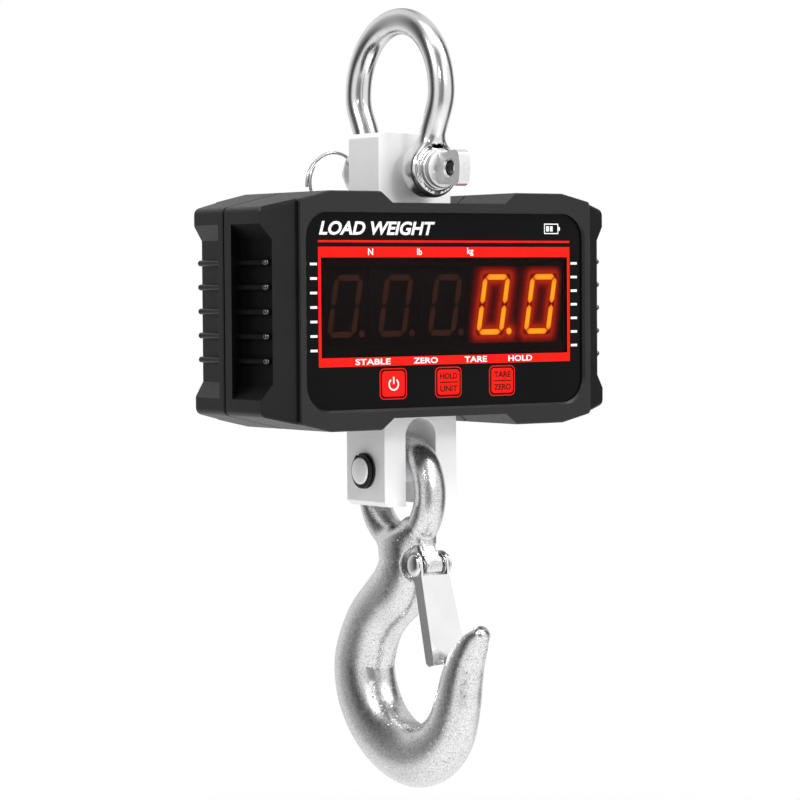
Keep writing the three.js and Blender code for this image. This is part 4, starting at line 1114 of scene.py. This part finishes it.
def make_label():
    outline = rounded(0, CASE_Z, LABEL_W, LABEL_H, LABEL_R, 20)
    sheet = prism_y("label_sheet", outline, LABEL_Y, LABEL_BACK_Y)
    wide = WINDOW_W + GAP
    high = WINDOW_H + GAP
    cut(sheet, block("opening", -wide, wide, -50, -30, WINDOW_Z - high, WINDOW_Z + high), *key_holes())
    dress(sheet, "scale", "gloss_black", "face_panel", 0.12)


def printed(name, outlines, look, slot="gloss_black", body="scale", y=PRINT_Y):
    """Flat printed shapes, one from each outline."""
    made = prism_y(name, outlines[0], y, y + INK)
    for outline in outlines[1:]:
        merged(made, prism_y(name, outline, y, y + INK))
    return settle(made, body, slot, look=look)


def strip(x0, x1, z0, z1):
    """Outline of a printed bar; z is measured from PRINT_Z."""
    return rectangle(x0, x1, PRINT_Z + z0, PRINT_Z + z1)


def words(name, text, x, z, cap, width=None, thick=0.02, y=WORD_Y, shear=0.0, key=None):
    """White printed word centred on x and z with capitals of height `cap`, or a dark one on a key."""
    curve = bpy.data.curves.new(name, "FONT")
    curve.body = text
    curve.align_x = "CENTER"
    curve.size = 1.0
    curve.resolution_u = 4
    curve.offset = thick
    curve.shear = shear
    source = bpy.data.objects.new(name + "_curve", curve)
    bpy.context.scene.collection.objects.link(source)
    mesh = evaluated_mesh(source)
    bpy.data.objects.remove(source)
    spots = [v.co for v in mesh.vertices]
    low, high = (Vector((end(p.x for p in spots), end(p.y for p in spots), 0)) for end in (min, max))
    tall = cap * MM / (high.y - low.y)
    wide = width * MM / (high.x - low.x) if width else tall
    middle = (low + high) / 2
    for v in mesh.vertices:
        flat = v.co - middle
        v.co = Vector((x * MM + flat.x * wide, y * MM, z * MM + flat.y * tall))
    made = bpy.data.objects.new(name, mesh)
    bpy.context.scene.collection.objects.link(made)
    if key:
        return settle(made, key, "red_key", look="dark_print")
    return settle(made, "scale", "gloss_black", look="white_print")


def make_prints():
    frame_parts = [
        strip(-FRAME_X, FRAME_X, 12.3, 17.4),
        strip(-FRAME_X, FRAME_X, -39.9, -35.6),
        strip(-FRAME_X, -FRAME_IN_X, -35.6, 12.3),
        strip(FRAME_IN_X, FRAME_X, -35.6, 12.3),
        strip(-FRAME_X, FRAME_X, 19.5, 20.5),
    ]
    printed("red_frame", frame_parts, "red_print", "red_key")
    ticks = []
    for x in (-78.8, 78.8):
        for i in range(7):
            z = 9.2 - 6.86 * i
            ticks.append(strip(x - 2, x + 2, z - 0.6, z + 0.6))
    printed("ticks", ticks, "white_print")
    words("title", "LOAD WEIGHT", -41.5, PRINT_Z + 26.3, 6.6, 68, 0.03, PRINT_Y, 0.25)
    battery = [
        strip(60, 69, 28.6, 29.1),
        strip(60, 69, 23.9, 24.4),
        strip(60, 60.5, 24.4, 28.6),
        strip(68.5, 69, 24.4, 28.6),
        strip(69, 70, 25.6, 27.4),
        strip(61.3, 63, 25.2, 27.8),
        strip(63.7, 65.4, 25.2, 27.8),
    ]
    printed("battery_sign", battery, "white_print")
    for text, x, cap in (("N", -45.8, 3.2), ("lb", -16.9, 3.2), ("kg", 13.8, 4.1)):
        words("unit_" + text.lower(), text, x, PRINT_Z + 15, cap, thick=0.018)
    states = (("STABLE", -44.8, 20.6), ("ZERO", -13.6, 14.6), ("TARE", 16.8, 13.8), ("HOLD", 44.5, 15))
    for text, x, width in states:
        words("word_" + text.lower(), text, x, PRINT_Z - 37.75, 2.9, width, 0.022)


def bar(x0, z0, x1, z1):
    """Pointed outline of one display bar between two places."""
    length = math.hypot(x1 - x0, z1 - z0)
    ux, uz = (x1 - x0) / length, (z1 - z0) / length
    half = SEGMENT_W / 2
    gap = SEGMENT_GAP
    rows = (
        (gap, 0),
        (half + gap, -half),
        (length - half - gap, -half),
        (length - gap, 0),
        (length - half - gap, half),
        (half + gap, half),
    )
    return [(x0 + ux * a - uz * s, z0 + uz * a + ux * s) for a, s in rows]


BAR_W = DIGIT_W - SEGMENT_W / 2
BAR_H = DIGIT_H - SEGMENT_W / 2
ZERO_BARS = (
    (-BAR_W, BAR_H, BAR_W, BAR_H),
    (-BAR_W, -BAR_H, BAR_W, -BAR_H),
    (-BAR_W, 0, -BAR_W, BAR_H),
    (BAR_W, 0, BAR_W, BAR_H),
    (-BAR_W, -BAR_H, -BAR_W, 0),
    (BAR_W, -BAR_H, BAR_W, 0),
)


def slanted(x, u, v):
    return x + u + v * DIGIT_SLANT, DIGIT_Z + v


def digit_outlines(x, dot):
    outlines = [[slanted(x, u, v) for u, v in bar(*ends)] for ends in ZERO_BARS]
    if dot:
        outlines.append(circle(DOT_R, x + DOT_X, DOT_Z, 24))
    return outlines


def paint(obj, colour_of):
    """Writes the attribute "glow" from each vertex's place in millimetres."""
    layer = obj.data.color_attributes.new("glow", "FLOAT_COLOR", "POINT")
    colours = colour_of(places_of(obj.data))
    layer.data.foreach_set("color", np.hstack([colours, np.ones((len(colours), 1))]).ravel())


def lit_bars(name, outlines, y):
    """Glowing bars, each a shallow dome that is yellow along its middle and orange at its rim."""
    points = []
    faces = []
    heat = []
    for outline in outlines:
        mid_x, mid_z = np.mean(outline, 0)
        count = len(outline)
        base = len(points)
        for shrink, lift, warm in ((1.0, 0.0, 0.0), (0.8, 0.12, 0.7), (0.45, 0.16, 1.0)):
            for u, v in outline:
                points.append((mid_x + (u - mid_x) * shrink, y - lift, mid_z + (v - mid_z) * shrink))
                heat.append(warm)
        for near in (base, base + count):
            for j in range(count):
                k = (j + 1) % count
                faces.append((near + j, near + k, near + count + k, near + count + j))
        faces.append(tuple(range(base + 2 * count, base + 3 * count)))
        faces.append(tuple(range(base, base + count))[::-1])
    made = mesh_object(name, points, faces)
    warmth = np.array(heat)[:, None]
    rim = np.array([[1.0, 0.17, 0.002]])
    core = np.array([[1.0, 0.4, 0.01]])
    paint(made, lambda _: rim + (core - rim) * warmth)
    settle(made, "scale", "digit", look="lit_bar")


def make_digits():
    half = DIGIT_PITCH / 2 - 0.02
    bars_y = DIGIT_FACE_Y - 0.25
    lit_ends = []
    for i in range(5):
        x = DIGIT_PITCH * (i - 2)
        place = (x - half, x + half, DIGIT_FACE_Y, -28, DIGIT_Z - 19, DIGIT_Z + 19)
        case = block(f"digit_case_{i + 1}", *place)
        dress(case, "scale", "digit", f"digit_module_{i + 1}", 0)
        outlines = digit_outlines(x, i < 4)
        if i < 3:
            printed(f"digit_bars_{i + 1}", outlines, "digit_bar", "digit", y=bars_y)
            continue
        lit_bars(f"digit_bars_{i + 1}", outlines, bars_y)
        lit_ends += [(slanted(x, *ends[:2]), slanted(x, *ends[2:])) for ends in ZERO_BARS]
    dot_x = DIGIT_PITCH + DOT_X
    make_halo([*lit_ends, ((dot_x, DOT_Z), (dot_x + 0.1, DOT_Z))])


def make_halo(spans):
    """Red light round the lit digits, on a thin sheet just before the digit faces."""
    left, right = HALO_X
    xs = np.arange(left, right + 0.01, 0.4)
    zs = np.arange(DIGIT_Z - 21.5, DIGIT_Z + 21.5, 0.4)
    points = [(x, DIGIT_FACE_Y - 0.12, z) for z in zs for x in xs]
    wide = len(xs)
    faces = []
    for row in range(len(zs) - 1):
        for at in range(row * wide, row * wide + wide - 1):
            faces.append((at, at + 1, at + wide + 1, at + wide))
    sheet = mesh_object("digit_halo", points, faces)

    def colour_of(p):
        best = np.full(len(p), 1e9)
        total = np.zeros(len(p))
        for a, b in spans:
            gap = span_distance(p[:, [0, 2]], np.array(a), np.array(b))
            gap = np.maximum(gap - SEGMENT_W / 2, 0)
            best = np.minimum(best, gap)
            total += np.exp(-gap / 2.2) * 0.25
        near = np.exp(-((best / 2.6) ** 1.3)) * (0.25 + 0.75 * np.clip(best / 0.8, 0, 1))
        strength = 0.95 * near + 0.16 * total
        edge = np.minimum(1, np.minimum(p[:, 0] - left, right - p[:, 0]) / 5)
        strength = np.maximum(strength * np.clip(edge, 0, 1) - 0.01, 0)
        green = strength**2 * 0.05
        return np.stack([strength * 0.85, green, green * 0.08], 1)

    paint(sheet, colour_of)
    settle(sheet, "scale", "digit", look="halo")


def make_window():
    low = WINDOW_Z - WINDOW_H
    high = WINDOW_Z + WINDOW_H
    back = LABEL_BACK_Y
    mask = block("window_mask", -WINDOW_W, WINDOW_W, back + 0.05, back + 0.2, low, high)
    cut(mask, block("digits_way", -73.8, 73.8, -50, -30, DIGIT_Z - 18.9, DIGIT_Z + 18.9))
    settle(mask, "scale", "digit")
    lens = block("lens", -WINDOW_W, WINDOW_W, LABEL_Y, back, low, high)
    dress(lens, "scale", "smoked_lens", "display_window", 0.1)


def key_frame(name, x):
    """Red outline printed round a key."""
    line = 0.45
    made = prism_y(name, rounded(x, BUTTON_Z, 8, 7.5, 2.6, 8), PRINT_Y, PRINT_Y + INK)
    inner = rounded(x, BUTTON_Z, 8 - line, 7.5 - line, 2.6 - line, 8)
    cut(made, prism_y("inner", inner, PRINT_Y - 1, PRINT_Y + 1))
    settle(made, "scale", "gloss_black", look="red_print")


def make_keys():
    for name, x in BUTTONS:
        key_frame("key_frame_" + name, x)
        outline = rounded(x, BUTTON_Z, BUTTON_W, BUTTON_H, 1.8, 8)
        cap = prism_y("key_cap_" + name, outline, LABEL_Y - 0.4, -32.2)
        wide = BUTTON_W + 1.5
        high = BUTTON_H + 1.5
        flange = (x - wide, x + wide, -35.1, -33.8, BUTTON_Z - high, BUTTON_Z + high)
        join(cap, block("flange", *flange))
        body = "button_" + name
        dress(cap, body, "red_key", body, 0.25)
        if name == "power":
            settle(power_symbol(x, BUTTON_Z), body, "red_key", look="white_print")
            continue
        upper, lower = ("HOLD", "UNIT") if name == "hold" else ("TARE", "ZERO")
        for place, text, up in (("upper", upper, 3.1), ("lower", lower, -3.1)):
            words(f"key_{name}_{place}", text, x, BUTTON_Z + up, 2.9, 10.4, y=KEY_PRINT_Y, key=body)
        line = rectangle(x - 5.6, x + 5.6, BUTTON_Z - 0.25, BUTTON_Z + 0.25)
        printed(f"key_{name}_line", [line], "dark_print", "red_key", body, KEY_PRINT_Y)


def power_symbol(x, z):
    """Open circle with a stem in its gap."""
    radius = 2.7
    half = 0.38
    turns = [math.radians(90 + 38 + (360 - 76) * i / 40) for i in range(41)]
    outer = [polar(radius + half, turn, x, z - 0.2) for turn in turns]
    inner = [polar(radius - half, turn, x, z - 0.2) for turn in turns]
    y = KEY_PRINT_Y
    made = prism_y("power_symbol", outer + inner[::-1], y, y + INK)
    return join(made, block("stem", x - half, x + half, y, y + INK, z, z + 3.4))


make_label()
make_prints()
make_digits()
make_window()
make_keys()


# ---------------------------------------------------------------- hook

HOOK_STATIONS = (
    (-1, -31.5, 14.5, 9.5),
    (-3.5, -39.5, 17, 11.5),
    (-4.5, -48, 16.5, 12),
    (2, -59.5, 16.5, 12.3),
    (13.5, -69, 15.5, 12.5),
    (24, -79, 16, 12.8),
    (31.3, -92, 17.2, 13),
    (34, -103, 17.8, 13.2),
    (30.5, -117, 18, 13.3),
    (20, -130.6, 17.1, 13),
    (4.5, -139.9, 16.2, 12.8),
    (-13, -142.8, 15.8, 12.4),
    (-29, -137.4, 15, 11.7),
    (-40, -127, 13.8, 10.8),
    (-46.3, -112.5, 12.3, 10),
    (-49.5, -101, 11.2, 9.2),
    (-54, -90.5, 9.3, 8.2),
    (-60, -82, 7, 6.8),
    (-65.5, -77, 4.2, 4.6),
)
EYE_DROP = 10.3
EYE_HOLE_R = 16.9
EYE_THIN = 6.3
EYE_THICK = 8
EYE_THICK_X = 8
BOSS_HALF = 5.4
BOSS_R = 5.7
EAR_ROOM_R = 9.6

LATCH_PIVOT = (LATCH_Y, LATCH_Z)

HOOK_PATH = catmull([(y, HOOK_Z + z, w, t) for y, z, w, t in HOOK_STATIONS], 14)


def ellipse_gap(u, v, half_u, half_v, power=2.0):
    """Nearly the distance to a superellipse."""
    a = np.abs(u) / half_u
    b = np.abs(v) / half_v
    k = np.maximum((a**power + b**power) ** (1 / power), 1e-4)
    slope = np.hypot(a ** (power - 1) / half_u, b ** (power - 1) / half_v) * k ** (1 - power)
    return (k - 1) / np.maximum(slope, 0.02)


def shank_field(x, y, z):
    """Nearly the distance to the hook's bent body, with a domed tip and a flat upper end."""
    index = nearest_on_path(HOOK_PATH, y, z)
    before = HOOK_PATH[index - 1]
    after = HOOK_PATH[index + 1]
    span = after[:, :2] - before[:, :2]
    length = np.linalg.norm(span, axis=1)
    tangent = span / length[:, None]
    here = HOOK_PATH[index]
    gap = np.stack([y, z], 1) - here[:, :2]
    along = (gap * tangent).sum(1)
    across = gap[:, 1] * tangent[:, 0] - gap[:, 0] * tangent[:, 1]
    share = np.clip(along / length, -0.5, 0.5)
    half_w = here[:, 2] + (after[:, 2] - before[:, 2]) * share
    half_t = here[:, 3] + (after[:, 3] - before[:, 3]) * share
    body = ellipse_gap(across, x, half_w, half_t, 2.25)
    end = HOOK_PATH[-1]
    end_dir = HOOK_PATH[-1, :2] - HOOK_PATH[-2, :2]
    end_dir /= np.linalg.norm(end_dir)
    beyond = (y - end[0]) * end_dir[0] + (z - end[1]) * end_dir[1]
    off = (z - end[1]) * end_dir[0] - (y - end[0]) * end_dir[1]
    dome = np.sqrt((off / end[2]) ** 2 + (x / end[3]) ** 2 + (np.maximum(beyond, 0) / 3.6) ** 2)
    dome = (dome - 1) * 4.2
    start = HOOK_PATH[0]
    start_dir = HOOK_PATH[0, :2] - HOOK_PATH[1, :2]
    start_dir /= np.linalg.norm(start_dir)
    above = (y - start[0]) * start_dir[0] + (z - start[1]) * start_dir[1]
    body = np.where(beyond > 0, dome, body)
    return rounded_pair(body, above, 3.0)


def hook_field(p):
    """Eye, body and the ridge that carries the rivet, with room for the latch's ears."""
    x, y, z = p.T
    eye_z = z - (HOOK_Z - EYE_DROP)
    radial = np.hypot(y, eye_z)
    low = 0.5 * (1 - eye_z / np.maximum(radial, 1e-6))
    half = EYE_THIN + (EYE_THICK - EYE_THIN) * low
    eye = ellipse_gap(radial - (EYE_HOLE_R + half), x, half, EYE_THICK_X, 2.1)
    shank = smooth_cut(shank_field(x, y, z), radial - EYE_HOLE_R, 1.0)
    body = smooth_union(shank, eye, 5.0)
    foot = np.array([LATCH_Y, LATCH_Z])
    span = np.array([13.0, 17.0])
    t = np.clip(((y - foot[0]) * span[0] + (z - foot[1]) * span[1]) / (span @ span), 0, 1)
    ridge = np.hypot(y - foot[0] - span[0] * t, z - foot[1] - span[1] * t) - BOSS_R
    ridge = rounded_pair(ridge, np.abs(x) - BOSS_HALF, 1.6)
    body = smooth_union(body, ridge, 3.5)
    pivot = np.hypot(y - LATCH_Y, z - LATCH_Z)
    room = rounded_pair(pivot - EAR_ROOM_R, BOSS_HALF - np.abs(x), 0.1)
    body = smooth_cut(body, room, 0.6)
    return smooth_cut(body, pivot - (RIVET_R + 0.3), 0.3)


def rough_shank():
    """Skin of ellipses along the hook's path."""
    rows = HOOK_PATH[::2]
    rings = []
    for i, (y, z, w, t) in enumerate(rows):
        ahead = rows[min(i + 1, len(rows) - 1)]
        behind = rows[max(i - 1, 0)]
        ty, tz = ahead[0] - behind[0], ahead[1] - behind[1]
        size = math.hypot(ty, tz)
        ty, tz = ty / size, tz / size
        ring = []
        for j in range(24):
            turn = 2 * math.pi * j / 24
            ring.append((t * math.sin(turn), y - tz * w * math.cos(turn), z + ty * w * math.cos(turn)))
        rings.append(ring)
    return loft("hook_rough", rings)


def rough_eye():
    """Torus that is thicker at its lower side."""
    rings = []
    for i in range(48):
        turn = 2 * math.pi * i / 48
        half = EYE_THIN + (EYE_THICK - EYE_THIN) * (1 - math.sin(turn)) / 2
        ring = []
        for out, x in [polar(1, 2 * math.pi * j / 16) for j in range(16)]:
            place = polar(EYE_HOLE_R + half + half * out, turn, 0, HOOK_Z - EYE_DROP)
            ring.append((EYE_THICK_X * x, *place))
        rings.append(ring)
    return loft("eye_torus", rings, True)


def make_hook():
    rough = rough_shank()
    cut(rough, cylinder(EYE_HOLE_R, -30, 30, "X", (0, HOOK_Z - EYE_DROP), 48))
    places = ((-6, 20), (-18, 9), (-28, 2), (-27, -4), (-22, -6), (-6, -6))
    ridge = [(y, LATCH_Z + z) for y, z in places]
    join(rough, rough_eye(), prism_x("ridge", ridge, -BOSS_HALF, BOSS_HALF))
    cut(
        rough,
        cylinder(EAR_ROOM_R, -30, -BOSS_HALF, "X", LATCH_PIVOT),
        cylinder(EAR_ROOM_R, BOSS_HALF, 30, "X", LATCH_PIVOT),
        cylinder(RIVET_R + GAP, -30, 30, "X", LATCH_PIVOT, 24),
    )
    hook = forged("hook_forging", rough, hook_field, 0.85)
    settle(hook, "hook", "forged_zinc", "hook_body")


def latch_point(along, forward):
    """Place in the YZ plane from lengths down the latch and out of its front."""
    sin, cos = math.sin(LATCH_LEAN), math.cos(LATCH_LEAN)
    return LATCH_Y - sin * along - cos * forward, LATCH_Z - cos * along + sin * forward


def latch_width(along):
    return LATCH_W + LATCH_TAPER * max(0, along - 6)


def latch_plate(name, outline, low_of, high_of):
    rings = []
    for edge in (low_of, high_of):
        rings.append([(edge(along), *latch_point(along, forward)) for along, forward in outline])
    return triangulated(loft(name, rings))


def make_latch():
    front, back, end = LATCH_FRONT, LATCH_BACK, LATCH_LENGTH
    rows = [(6, front), (2.5, 4.4), (-1.5, 4.9), (-4.4, 4), (-6.3, 1.9), (-6.8, -0.6), (-6, -3.2)]
    rows += [(-4, -5.1), (-1, -5.8), (4, -4.8), (8.5, back - 0.1)]
    outline = catmull(rows, 5).tolist() + [(end - 2, back), (end, back + 2), (end, front)]
    inside = front - LATCH_SHEET
    web = [(6, front), (6, inside), (end, inside), (end, front)]
    latch = latch_plate("latch_sheet", outline, lambda a: latch_width(a) - LATCH_SHEET, latch_width)
    join(
        latch,
        latch_plate("ear", outline, lambda a: -latch_width(a), lambda a: -latch_width(a) + LATCH_SHEET),
        latch_plate("web", web, lambda a: -latch_width(a) + 0.02, lambda a: latch_width(a) - 0.02),
    )
    cut(latch, cylinder(RIVET_R + GAP, -30, 30, "X", LATCH_PIVOT))
    dress(latch, "latch", "polished_steel", "hook_latch", 0.5, 40, 4, "sheet_steel")
    # Painted shade: faces turned sideways, the latch's flanges, take the darker spring steel look.
    tint(latch, "spring_steel", lambda _, normal: abs(normal.x) > 0.7)


def make_rivet():
    seat = LATCH_W + GAP
    rows = ((RIVET_R, 0), (5.4, 0), (5.6, 0.3), (5.5, 0.8), (4.9, 1.35), (3.9, 1.8), (2.5, 2.1), (1, 2.2))
    rivet = turned_pair("rivet_domed", [(radius, seat + x) for radius, x in rows], LATCH_PIVOT, 48)
    settle(smooth(rivet), "hook", "polished_steel", "latch_rivet")


def make_spring():
    """Spiral round the rivet whose outer leg lies along the latch."""
    wire = 0.45
    x = (BOSS_HALF + LATCH_W - LATCH_SHEET) / 2
    leg = -LATCH_LEAN - math.pi / 2
    steps = 40
    path = []
    for i in range(steps + 1):
        turn = leg - 0.2 - (2 * math.pi * 1.6 * (steps - i)) / steps
        path.append((x, *polar(RIVET_R + 0.4 + wire + 2 * i / steps, turn, *LATCH_PIVOT)))
    path.append((x, *latch_point(20, LATCH_FRONT - 2.2)))
    spring = sweep("spring_wire", catmull(path, 5), wire, 10)
    settle(smooth(spring), "latch", "spring_steel", "latch_spring")


make_hook()
make_latch()
make_rivet()
make_spring()


# ---------------------------------------------------------------- carried-over CAD nodes

for row in frame["record"]["subparts"]:
    node = frame["nodes"][row["node"]]
    if node.hide_render:
        continue
    node.data.materials.clear()
    node.data.materials.append(LOOKS[row["material_slot"]])


# ---------------------------------------------------------------- floor, light and camera

CAMERA_SIDE = math.radians(35.407)
CAMERA_DISTANCE = 1.4673
CAMERA_Z = -0.1235
CAMERA_LENS = 132.056
CAMERA_PITCH = math.radians(2.286)
CAMERA_YAW = math.radians(0.0234)
CAMERA_ROLL = math.radians(-0.395)


def make_camera():
    data = bpy.data.cameras.new("camera")
    data.lens = CAMERA_LENS
    data.sensor_width = 36
    data.clip_start = 0.1
    data.clip_end = 50
    camera = bpy.data.objects.new("camera", data)
    bpy.context.scene.collection.objects.link(camera)
    away = Vector((-math.sin(CAMERA_SIDE), -math.cos(CAMERA_SIDE), 0))
    camera.location = away * CAMERA_DISTANCE + Vector((0, 0, CAMERA_Z))
    turn = (
        Matrix.Rotation(-CAMERA_SIDE + CAMERA_YAW, 4, "Z")
        @ Matrix.Rotation(math.pi / 2 - CAMERA_PITCH, 4, "X")
        @ Matrix.Rotation(CAMERA_ROLL, 4, "Z")
    )
    camera.rotation_euler = turn.to_euler()
    bpy.context.scene.camera = camera
    return away


def area_light(name, place, aim, size, power):
    data = bpy.data.lights.new(name, "AREA")
    data.shape = "RECTANGLE"
    data.size, data.size_y = size
    data.energy = power
    light = bpy.data.objects.new(name, data)
    bpy.context.scene.collection.objects.link(light)
    light.location = place
    direction = Vector(aim) - Vector(place)
    light.rotation_euler = direction.to_track_quat("-Z", "Y").to_euler()


# Degrees round from the camera's direction, positive to the object's right, and brightness
WORLD_BANDS = (
    (-180, 0.4),
    (-164, 0.8),
    (-130, 0.88),
    (-112, 0.45),
    (-100, 0.2),
    (-88, 0.05),
    (-76, 0.06),
    (-66, 0.35),
    (-56, 0.9),
    (-32, 0.95),
    (-14, 0.3),
    (14, 0.22),
    (30, 0.95),
    (86, 1.0),
    (100, 0.25),
    (112, 0.08),
    (126, 0.1),
    (142, 0.85),
    (164, 0.8),
    (180, 0.4),
)
WORLD_END = (0.75, 0.75, 0.75, 1)
WHITE = (1, 1, 1, 1)


def make_world(away):
    """White room for the camera; for reflections, soft white and dark bands round the object."""
    world = bpy.data.worlds.new("studio")
    bpy.context.scene.world = world
    world.use_nodes = True
    tree = world.node_tree
    tree.nodes.clear()
    right = Vector((-away.y, away.x, 0))
    direction = add_node(tree, "TexCoord").outputs["Generated"]
    up = add_node(tree, "SeparateXYZ", direction).outputs["Z"]
    ahead = add_node(tree, "VectorMath", direction, tuple(away), operation="DOT_PRODUCT")
    aside = add_node(tree, "VectorMath", direction, tuple(right), operation="DOT_PRODUCT")
    dots = (aside.outputs["Value"], ahead.outputs["Value"])
    angle = add_node(tree, "Math", *dots, operation="ARCTAN2").outputs[0]
    share = add_node(tree, "Math", angle, 0.5 / math.pi, 0.5, operation="MULTIPLY_ADD").outputs[0]
    stops = [(degrees / 360 + 0.5, value) for degrees, value in WORLD_BANDS]
    shade = add_ramp(tree, share, stops, "EASE")
    for start, end in ((0.68, 0.97), (-0.55, -0.92)):
        near = add_node(tree, "MapRange", up, start, end, 0.0, 1.0).outputs[0]
        shade = add_node(tree, "MixRGB", near, shade, WORLD_END).outputs[0]
    seen = add_node(tree, "LightPath").outputs["Is Camera Ray"]
    final = add_node(tree, "MixRGB", seen, shade, WHITE).outputs[0]
    background = add_node(tree, "Background", final)
    add_node(tree, "OutputWorld", background.outputs[0])


def make_floor():
    """Pale round floor well below the hook, fading into the white room at its rim."""
    rings = 24
    sides = 72
    points = [(0, 0, -620)]
    for i in range(1, rings + 1):
        points += [(x, y, -620) for x, y in circle(1500 * i / rings, 0, 0, sides)]
    faces = []
    for j in range(sides):
        k = (j + 1) % sides
        faces.append((0, 1 + j, 1 + k))
        for i in range(rings - 1):
            near = 1 + i * sides
            faces.append((near + j, near + sides + j, near + sides + k, near + k))
    floor = mesh_object("floor", points, faces)
    look = Look("floor", Roughness=0.8, Specular_IOR_Level=0.2)
    look.colour(look.noise(3, 2), 0.86, 0.9)
    flat = look.add("VectorMath", look.place, (1, 1, 0), operation="MULTIPLY")
    spread = look.add("VectorMath", flat.outputs[0], operation="LENGTH")
    fade = look.add("MapRange", spread.outputs["Value"], 0.5, 1.4, 1, 0)
    look.drive("Alpha", fade.outputs[0])
    floor.data.materials.append(look.material)


away = make_camera()
make_world(away)
make_floor()
# Name, place and aim in metres, size in metres and power in watts
area_light("key", (0.75, -1.05, 1.5), (0, 0, -0.15), (0.6, 0.6), 24)
area_light("top", (-0.2, -0.3, 1.3), (0, 0, -0.1), (1.0, 1.0), 3)
area_light("left", (-1.6, -0.2, 0.9), (0, 0, -0.15), (0.5, 0.5), 11)
area_light("front", (0.1, -1.9, 0.7), (0, 0, -0.2), (0.4, 0.4), 9)
area_light("glint", (-0.9, -0.9, 0.45), (0, 0, -0.13), (0.06, 0.06), 1.2)
bpy.context.scene.view_settings.view_transform = "Standard"
